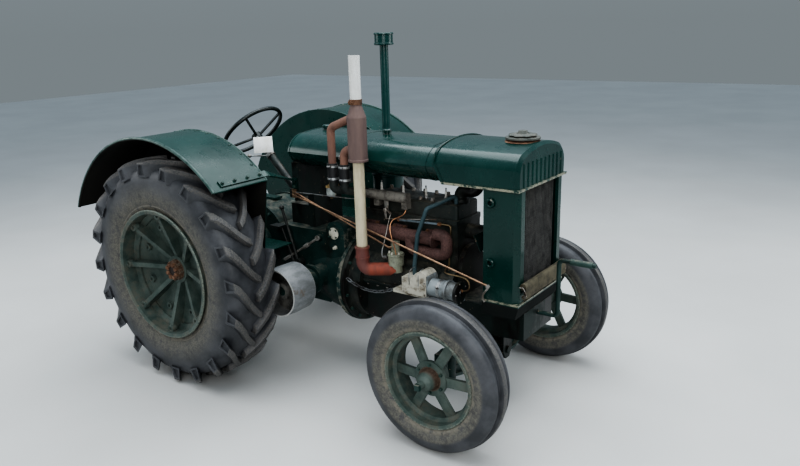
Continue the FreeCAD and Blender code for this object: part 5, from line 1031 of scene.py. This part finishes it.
def canvas_blind():
    """Canvas wound on its rod at the foot of the radiator, its end turned round the lower rail."""
    rod = from_axle(1849.3, 0, 722)
    rail = from_axle(1856.3, 0, 672)
    wide = 0.444
    points = []
    turns, steps = 5, 14
    for i in range(turns * steps + 1):
        share = i / (turns * steps)
        angle = -math.tau * turns * share
        radius = 0.0042 + 0.0122 * share
        points.append(rod + Vector((radius * math.cos(angle), -wide / 2, radius * math.sin(angle))))
    for z in (0.706, 0.690):
        points.append(Vector((rod.x + 0.0166 + (0.722 - z) * 0.02, -wide / 2, z)))
    for i in range(16):
        angle = -math.tau * 1.1 * i / 15
        radius = 0.0110 + 0.0012 * i / 15
        points.append(rail + Vector((radius * math.cos(angle), -wide / 2, radius * math.sin(angle))))
    cloth = draw_line(points)
    with editing(cloth):
        for row in range(18):
            bpy.ops.mesh.extrude_region_move(TRANSFORM_OT_translate={"value": (0, wide / 18, 0)})
        tidy_shell(0.000005)
    folds = bpy.data.textures.new("folds", "CLOUDS")
    folds.noise_scale = 0.06
    modify(cloth, "DISPLACE", texture=folds, texture_coords="GLOBAL", strength=0.0012, mid_level=0.5)
    modify(cloth, "SOLIDIFY", thickness=0.0009, offset=0)
    finish_piece(cloth, "blind_canvas", "tractor", CANVAS, 60)
    rods = [turned(((0.0, 0.0), (0.0034, 0.0), (0.0034, 0.462), (0.0, 0.462)), rod + Vector((0, -0.231, 0)), (0, 1, 0), 12),
            turned(((0.0, 0.0), (0.0085, 0.0), (0.0098, 0.002), (0.0098, 0.422), (0.0085, 0.424), (0.0, 0.424)),
                   rail + Vector((0, -0.212, 0)), (0, 1, 0), 20)]
    for y in (-0.227, 0.227):
        rods.append(bent_pipe([rod + Vector((-0.017, y, -0.004)), rod + Vector((0.002, y, 0.000)),
                               rod + Vector((0.012, y, -0.012)), rail + Vector((0.014, y, 0.014)),
                               rail + Vector((0.006, 0.94 * y, -0.001))], 0.0025))
    finish_piece(joined(rods), "blind_rods", "tractor", BOLT_STEEL)
    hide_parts("blind_roll")


def header_trim():
    """Rolled bead round the rear edge of the header tank."""
    half, low, crown = 250, 1256, 1366
    spots = [(1388, -half - 1, low + 3), (1388, -half - 1, 1300)]
    spots += [(1388, y, z) for y, z in ((-251, 1286), (-246, 1308), (-228, 1330), (-188, 1345), (-100, 1363), (0, 1368.5),
                                        (100, 1363), (188, 1345), (228, 1330), (246, 1308), (251, 1286))]
    spots += [(1388, half + 1, low + 3)]
    bead = bent_pipe([from_axle(*spot) for spot in spots], 0.0036)
    finish_piece(bead, "header_bead", "tractor", WING_GREEN)


def radiator_eyes():
    """Thick rims round the holes in the radiator's sides."""
    rim = turned(((0.0110, 0.0), (0.0235, 0.0), (0.0225, 0.006), (0.0190, 0.0085), (0.0130, 0.0085), (0.0110, 0.006),
                  (0.0110, 0.0)), Vector((0, 0, 0)), steps=28)
    rims = copies_at(rim, [looking(from_axle(1688, side * 246, z), (0, side, 0)) for side in (-1, 1) for z in (819, 1108)])
    finish_piece(rims, "radiator_eyes", "tractor", WING_GREEN)


def cap_pressing():
    """Neck under the filler cap and its scalloped upper disc."""
    neck = turned(((0.090, -0.004), (0.078, 0.001), (0.064, 0.004), (0.062, 0.008), (0.050, 0.008)),
                  from_axle(1724, 0, 1366), steps=48)
    finish_piece(neck, "cap_neck", "tractor", BOLT_RUST)
    disc = turned(((0.030, 0.0), (0.066, 0.0), (0.070, 0.003), (0.066, 0.007), (0.040, 0.010), (0.030, 0.010)),
                  Vector((0, 0, 0)), steps=48)
    with editing(disc):
        choose(disc, "verts", lambda vert: vert.co.xy.length > 0.060 and math.cos(8 * math.atan2(vert.co.y, vert.co.x)) < -0.2)
        bpy.ops.transform.resize(value=(0.90, 0.90, 1), center_override=(0, 0, 0))
    put(disc, from_axle(1724, 0, 1389))
    finish_piece(disc, "cap_disc", "tractor", CAP)


core_face()
canvas_blind()
header_trim()
radiator_eyes()
cap_pressing()


# Open engine


def sleeve_clamps():
    """Rubber sleeves and the worm clamps on them."""
    made, sleeves = [], []
    for x in (788, 868):
        sleeves.append(turned(((0.0271, 0.0), (0.0280, 0.001), (0.0282, 0.010), (0.0279, 0.018), (0.0284, 0.046),
                               (0.0279, 0.074), (0.0282, 0.084), (0.0280, 0.092), (0.0271, 0.093), (0.0271, 0.0)),
                              from_axle(x, -300, 1132), steps=32))
        for z in (1146, 1211):
            made.append(band(0.0280, 0.0016, 0.012, from_axle(x, -300, z)))
            made.append(turned(((0.0, 0.0), (0.0045, 0.0), (0.0045, 0.018), (0.0058, 0.018), (0.0058, 0.023),
                                (0.0, 0.023)), from_axle(x - 10, -331, z), (1, 0, 0), 12))
    finish_piece(joined(sleeves), "rubber_sleeves", "tractor", HOSE)
    finish_piece(joined(made), "sleeve_clamps", "tractor", STEEL)


def tail_clamp():
    """Rusty clamp at the foot of the tail pipe, with its bolt."""
    spot = from_axle(963, -300, 1546)
    ring = band(0.0284, 0.0030, 0.026, spot)
    ears = []
    for dx in (-0.007, 0.004):
        ears.append(plate([spot + Vector((dx, -0.030, -0.012)), spot + Vector((dx, -0.048, -0.012)),
                           spot + Vector((dx, -0.048, 0.012)), spot + Vector((dx, -0.030, 0.012))],
                          (0.003, 0, 0), 0.0006))
    pin = turned(((0.0, 0.0), (0.0058, 0.0), (0.0058, 0.005), (0.0032, 0.005), (0.0032, 0.026), (0.0, 0.026)),
                 spot + Vector((-0.013, -0.041, 0)), (1, 0, 0), 6)
    finish_piece(joined([ring, *ears, pin]), "tail_clamp", "tractor", BOLT_RUST)


def spark_plugs():
    """Plugs in a row along the head."""
    shell = []
    white = []
    for x in (905, 1050, 1195, 1318):
        spot = from_axle(x, -40, 1032)
        shell.append(put(hex_head(0.021, 0.012, 0.030), spot))
        white.append(turned(((0.0, 0.0), (0.0082, 0.0), (0.0082, 0.006), (0.0064, 0.009), (0.0064, 0.020),
                             (0.0074, 0.022), (0.0064, 0.025), (0.0054, 0.042), (0.0, 0.043)),
                            spot + Vector((0, 0, 0.013)), steps=18))
        shell.append(turned(((0.0, 0.0), (0.0030, 0.0), (0.0030, 0.006), (0.0045, 0.007), (0.0045, 0.012),
                             (0.0, 0.013)), spot + Vector((0, 0, 0.055)), steps=12))
    finish_piece(joined(shell), "plug_shells", "tractor", STEEL)
    finish_piece(joined(white), "plug_insulators", "tractor", PORCELAIN)


def engine_pipes():
    """Small pipes along the block and down to the drive housing."""
    pale = bent_pipe([from_axle(*spot) for spot in (
        (1076, -113, 919), (1076, -127, 920), (1110, -129, 922), (1240, -129, 927), (1330, -129, 931))], 0.0065)
    finish_piece(pale, "side_pipe", "tractor", PALE_PIPE)
    copper = [bent_pipe([from_axle(*spot) for spot in (
        (1332, -129, 931), (1376, -129, 934), (1402, -129, 930), (1399, -129, 890), (1396, -129, 846),
        (1388, -129, 720), (1384, -124, 655), (1384, -108, 640))], 0.0048)]
    copper.append(bent_pipe([from_axle(*spot) for spot in (
        (1388, -128, 722), (1394, -170, 716), (1420, -225, 717), (1470, -236, 718), (1532, -236, 718),
        (1570, -236, 704), (1572, -235, 660), (1540, -235, 645), (1519, -235, 645))], 0.0042))
    finish_piece(joined(copper), "drip_pipe", "tractor", BRASS)
    unions = [put(hex_head(0.017, 0.014, 0.019), from_axle(1326, -129, 930.6), (1, 0, 0.03)),
              put(hex_head(0.014, 0.010, 0.017), from_axle(1520, -235, 645), (1, 0, 0)),
              put(hex_head(0.016, 0.010, 0.020), from_axle(1076, -118, 919), (0, -1, 0))]
    finish_piece(joined(unions), "pipe_unions", "tractor", PIPE_COPPER)


def magneto_fittings():
    """Spring clips, strap and screws on the magneto and its drive."""
    clips = []
    for x in (1247, 1303):
        clips.append(bent_pipe([from_axle(x, -284.5, 640), from_axle(x, -284.5, 668), from_axle(x, -285, 700),
                                from_axle(x, -262, 719.5), from_axle(x, -235, 719)], 0.0022))
    clips.append(band(0.0462, 0.0022, 0.016, from_axle(1412, -235, 632), (1, 0, 0), 40))
    sleeve = turned(((0.0461, 0.0), (0.0475, 0.001), (0.0475, 0.010), (0.0466, 0.012), (0.0466, 0.084), (0.0461, 0.085),
                     (0.0461, 0.0)), from_axle(1352, -235, 632), (1, 0, 0), 48)
    cover = turned(((0.0461, 0.0), (0.0466, 0.0), (0.0466, 0.022), (0.0461, 0.022), (0.0461, 0.0)),
                   from_axle(1438, -235, 632), (1, 0, 0), 48)
    front = turned(((0.0544, -0.0146), (0.0552, -0.013), (0.0552, 0.0), (0.050, 0.0035), (0.020, 0.0045), (0.016, 0.010),
                    (0.0, 0.012)), from_axle(1520.3, -235, 632), (1, 0, 0), 48)
    finish_piece(joined([sleeve, cover]), "drive_sleeve", "tractor", DRIVE_GREY)
    finish_piece(front, "drive_end", "tractor", DASH)
    clips.append(turned(((0.0, 0.0), (0.0060, 0.0), (0.0060, 0.022), (0.0, 0.023)),
                        from_axle(1412, -283, 652), (0.3, -0.6, 0.6), 12))
    finish_piece(joined(clips), "magneto_clips", "tractor", STEEL)
    spots = [(from_axle(1520, -235 + 49 * math.cos(a), 632 + 49 * math.sin(a)), (1, 0, 0))
             for a in (0.5, 1.8, 3.1, 4.6)]
    spots += [(from_axle(x, -283, z), (0, -1, 0)) for x in (1210, 1340) for z in (600, 662)]
    bolts("magneto_screws", "tractor", spots, 0.0078, 0.004, BOLT_STEEL, 1.2)


def carburettor_fittings():
    """Bowl screws, choke lever and the drain plug of the mouth."""
    spots = [(from_axle(1110 + 34 * math.cos(a), -205 + 34 * math.sin(a), 764), (0, 0, 1))
             for a in (3.6, 4.7, 5.8)]
    bolts("bowl_screws", "tractor", spots, 0.009, 0.007, OFF_WHITE, 1.3)
    lid = turned(((0.0, 0.0), (0.0445, 0.0), (0.0455, 0.002), (0.0455, 0.007), (0.0440, 0.009), (0.0425, 0.009)),
                 from_axle(1110, -205, 750), steps=40)
    lever = [bent_pipe([from_axle(1060, -229, 735), from_axle(1062, -250, 735), from_axle(1052, -252, 760),
                        from_axle(1058, -251, 792)], 0.0035),
             turned(((0.0, 0.0), (0.009, 0.0), (0.009, 0.024), (0.0, 0.025)), from_axle(1068, -222, 735), (-1, 0, 0), 14)]
    finish_piece(lid, "bowl_lid", "tractor", BOWL)
    finish_piece(joined(lever), "choke_lever", "tractor", STEEL)
    line = bent_pipe([from_axle(*spot) for spot in (
        (1129, -229, 754), (1128, -231, 790), (1108, -236, 850), (1094, -232, 905), (1092, -205, 940),
        (1112, -165, 948), (1126, -130, 962), (1127, -125, 990))], 0.0034)
    finish_piece(line, "fuel_line", "tractor", PIPE_COPPER)
    plates = [plate([from_axle(x, -147, z) for x, z in ((1000, 1022), (1032, 1022), (1028, 962), (1008, 962))], (0, -0.004, 0), 0.001),
              turned(((0.0, 0.0), (0.0120, 0.0), (0.0120, 0.020), (0.0080, 0.023), (0.0, 0.023)), from_axle(1018, -148, 974), (0, -1, 0), 18),
              plate([from_axle(x, -164, z) for x, z in ((1010, 980), (1025, 984), (1062, 962), (1058, 953))], (0, -0.004, 0), 0.001),
              plate([from_axle(x, -164, z) for x, z in ((1010, 970), (1026, 968), (1030, 925), (1020, 925))], (0, -0.004, 0), 0.001),
              bent_pipe([from_axle(*spot) for spot in ((1058, -171, 958), (1062, -190, 940), (1064, -228, 850), (1058, -251, 788))], 0.0028),
              bent_pipe([from_axle(*spot) for spot in ((1025, -171, 930), (1180, -170, 945), (1330, -150, 960))], 0.0026)]
    finish_piece(joined(plates), "governor_levers", "tractor", BOLT_STEEL)
    rings = [band(0.0350, 0.0045, 0.009, from_axle(963, -300, 797)), band(0.0350, 0.0040, 0.008, from_axle(963, -300, 745))]
    finish_piece(joined(rings), "elbow_rings", "tractor", STACK)


def fuel_fittings():
    """Bail round the glass bowl, its thumb nut and the tap beside it."""
    x, y = 636, -150
    bail = [bent_pipe([from_axle(x - 31, y, 1058), from_axle(x - 31, y, 1020), from_axle(x - 31, y, 997),
                       from_axle(x, y, 994), from_axle(x + 31, y, 997), from_axle(x + 31, y, 1020),
                       from_axle(x + 31, y, 1058)], 0.0014),
            turned(((0.0, 0.0), (0.004, 0.0), (0.010, 0.002), (0.010, 0.007), (0.004, 0.009), (0.004, 0.014),
                    (0.0, 0.014)), from_axle(x, y, 988), steps=16),
            bent_pipe([from_axle(x + 30, y, 1058), from_axle(x + 52, y, 1058), from_axle(x + 58, y - 4, 1058)], 0.006),
            bent_pipe([from_axle(x + 56, y, 1044), from_axle(x + 56, y, 1072), from_axle(x + 62, y - 4, 1078)], 0.0035)]
    finish_piece(joined(bail), "bowl_bail", "tractor", BRASS)


def linkages():
    """Clutch rod down to the pedal, the thin bright rod under the tank, and the shutter lever."""
    clutch = [bent_pipe([from_axle(543, -189, 752), from_axle(400, -184, 660), from_axle(262, -184, 577)], 0.0070),
              turned(((0.0075, -0.010), (0.0150, -0.010), (0.0150, 0.0), (0.0075, 0.0), (0.0075, -0.010)),
                     from_axle(544, -194, 754), (0, -1, 0), 24),
              turned(((0.0, 0.0), (0.0120, 0.0), (0.0130, 0.004), (0.0130, 0.040), (0.0075, 0.048), (0.0, 0.048)),
                     from_axle(470, -186.5, 705), (-0.843, 0.02, -0.538), 16),
              turned(((0.0, 0.0), (0.0090, 0.0), (0.0100, 0.006), (0.0100, 0.060), (0.0, 0.064)),
                     from_axle(318, -184, 611), (-0.862, 0, -0.507), 14)]
    finish_piece(joined(clutch), "clutch_rod", "tractor", ROD_GREY)
    bright = bent_pipe([from_axle(*spot) for spot in (
        (438, -243, 1022), (620, -240, 1026), (840, -236, 1029), (905, -222, 1033), (912, -172, 1040))], 0.0034)
    finish_piece(bright, "bright_rod", "tractor", STEEL)
    lever = [bent_pipe([from_axle(*spot) for spot in (
        (1690, -253, 708), (1684, -257, 694), (1662, -256, 668), (1652, -254, 642), (1664, -251, 622))], 0.0055),
             turned(((0.0, 0.0), (0.0085, 0.0), (0.0095, 0.003), (0.0095, 0.012), (0.0, 0.014)),
                    from_axle(1681, -246, 703), (0, -1, 0), 18)]
    finish_piece(joined(lever), "shutter_lever", "tractor", ROD_GREY)


linkages()
sleeve_clamps()
tail_clamp()
spark_plugs()
engine_pipes()
magneto_fittings()
carburettor_fittings()
fuel_fittings()


# Wings, tank and the driver's place


def wing_rivets():
    """Rivets along the inner edge of each wing, and the bolts of its stay."""
    rivets, stays = [], []
    for side in (-1, 1):
        for i in range(15):
            angle = math.radians(53 + 7 * i)
            way = Vector((math.cos(angle), 0, math.sin(angle)))
            rivets.append((from_axle(0, side * 547, 635) + 0.745 * way, way))
        angle = math.radians(47)
        way = Vector((math.cos(angle), 0, math.sin(angle)))
        for y in (802, 724, 640, 556):
            stays.append((from_axle(0, side * y, 635) + 0.752 * way, way))
        stays += [(from_axle(448, side * 244.3, z), (0, side, 0)) for z in (1054, 1086)]
    dome = turned(((0.0085, 0.0), (0.0078, 0.0022), (0.0050, 0.0038), (0.0, 0.0042)), Vector((0, 0, 0)), steps=12)
    finish_piece(copies_at(dome, [looking(spot, way) for spot, way in rivets]), "wing_rivets", "tractor",
                 WING_GREEN, 50)
    bolts("stay_bolts", "tractor", stays, 0.014, 0.008, BOLT_GREEN, 1.3)


def tank_straps():
    """Bolt lugs of the tank's middle strap."""
    spots = [(from_axle(805, side * 248.5, 1248), (0, side, 0)) for side in (-1, 1)]
    bolts("strap_bolts", "tractor", spots, 0.018, 0.012, STEEL, 1.4)


def hand_lever_and_card():
    """Throttle lever on the steering column, and a blank card tied to the column above it."""
    lever = [bent_pipe([from_axle(19, -20, 1161), from_axle(18, -60, 1164), from_axle(12, -120, 1172),
                        from_axle(8, -150, 1176)], 0.0042),
             turned(((0.0, 0.0), (0.007, 0.002), (0.011, 0.010), (0.011, 0.018), (0.006, 0.026), (0.0, 0.028)),
                    from_axle(9, -146, 1176), (-0.1, -1, 0.1), 18),
             band(0.0241, 0.0045, 0.022, from_axle(19, 0, 1161), (-0.70711, 0, 0.70711), 32)]
    finish_piece(joined(lever), "throttle_lever", "tractor", STEEL)
    across = Vector((0.676, 0.737, 0.0))
    up = Vector((-0.16, 0.10, 0.98)).normalized()
    middle = from_axle(17, -52, 1229)
    face = across.cross(up).normalized()
    corners = [middle + across * a + up * b
               for a, b in ((-0.058, -0.048), (0.056, -0.046), (0.058, 0.050), (-0.055, 0.049))]
    card = plate(corners, face * 0.0016, 0.0005)
    finish_piece(card, "blank_card", "tractor", CARD)
    hole = middle + across * -0.030 + up * 0.043
    tie = bent_pipe([from_axle(-52, -18, 1246), from_axle(-45, -40, 1256), hole + up * 0.020, hole + face * 0.010,
                     hole - face * 0.002, hole - face * 0.010, from_axle(-44, -30, 1244), from_axle(-50, -15, 1238)], 0.0011)
    finish_piece(tie, "card_tie", "tractor", STEEL)


def crank_grip():
    """Loose sleeve on the starting handle."""
    grip = turned(((0.0114, 0.0), (0.0150, 0.001), (0.0160, 0.004), (0.0150, 0.008), (0.0152, 0.060), (0.0158, 0.104),
                   (0.0148, 0.110), (0.0114, 0.111)), from_axle(1984, 0, 806), (1, 0, 0), 28)
    finish_piece(grip, "crank_grip", "tractor", BOLT_GREEN)


wing_rivets()
tank_straps()
hand_lever_and_card()
crank_grip()
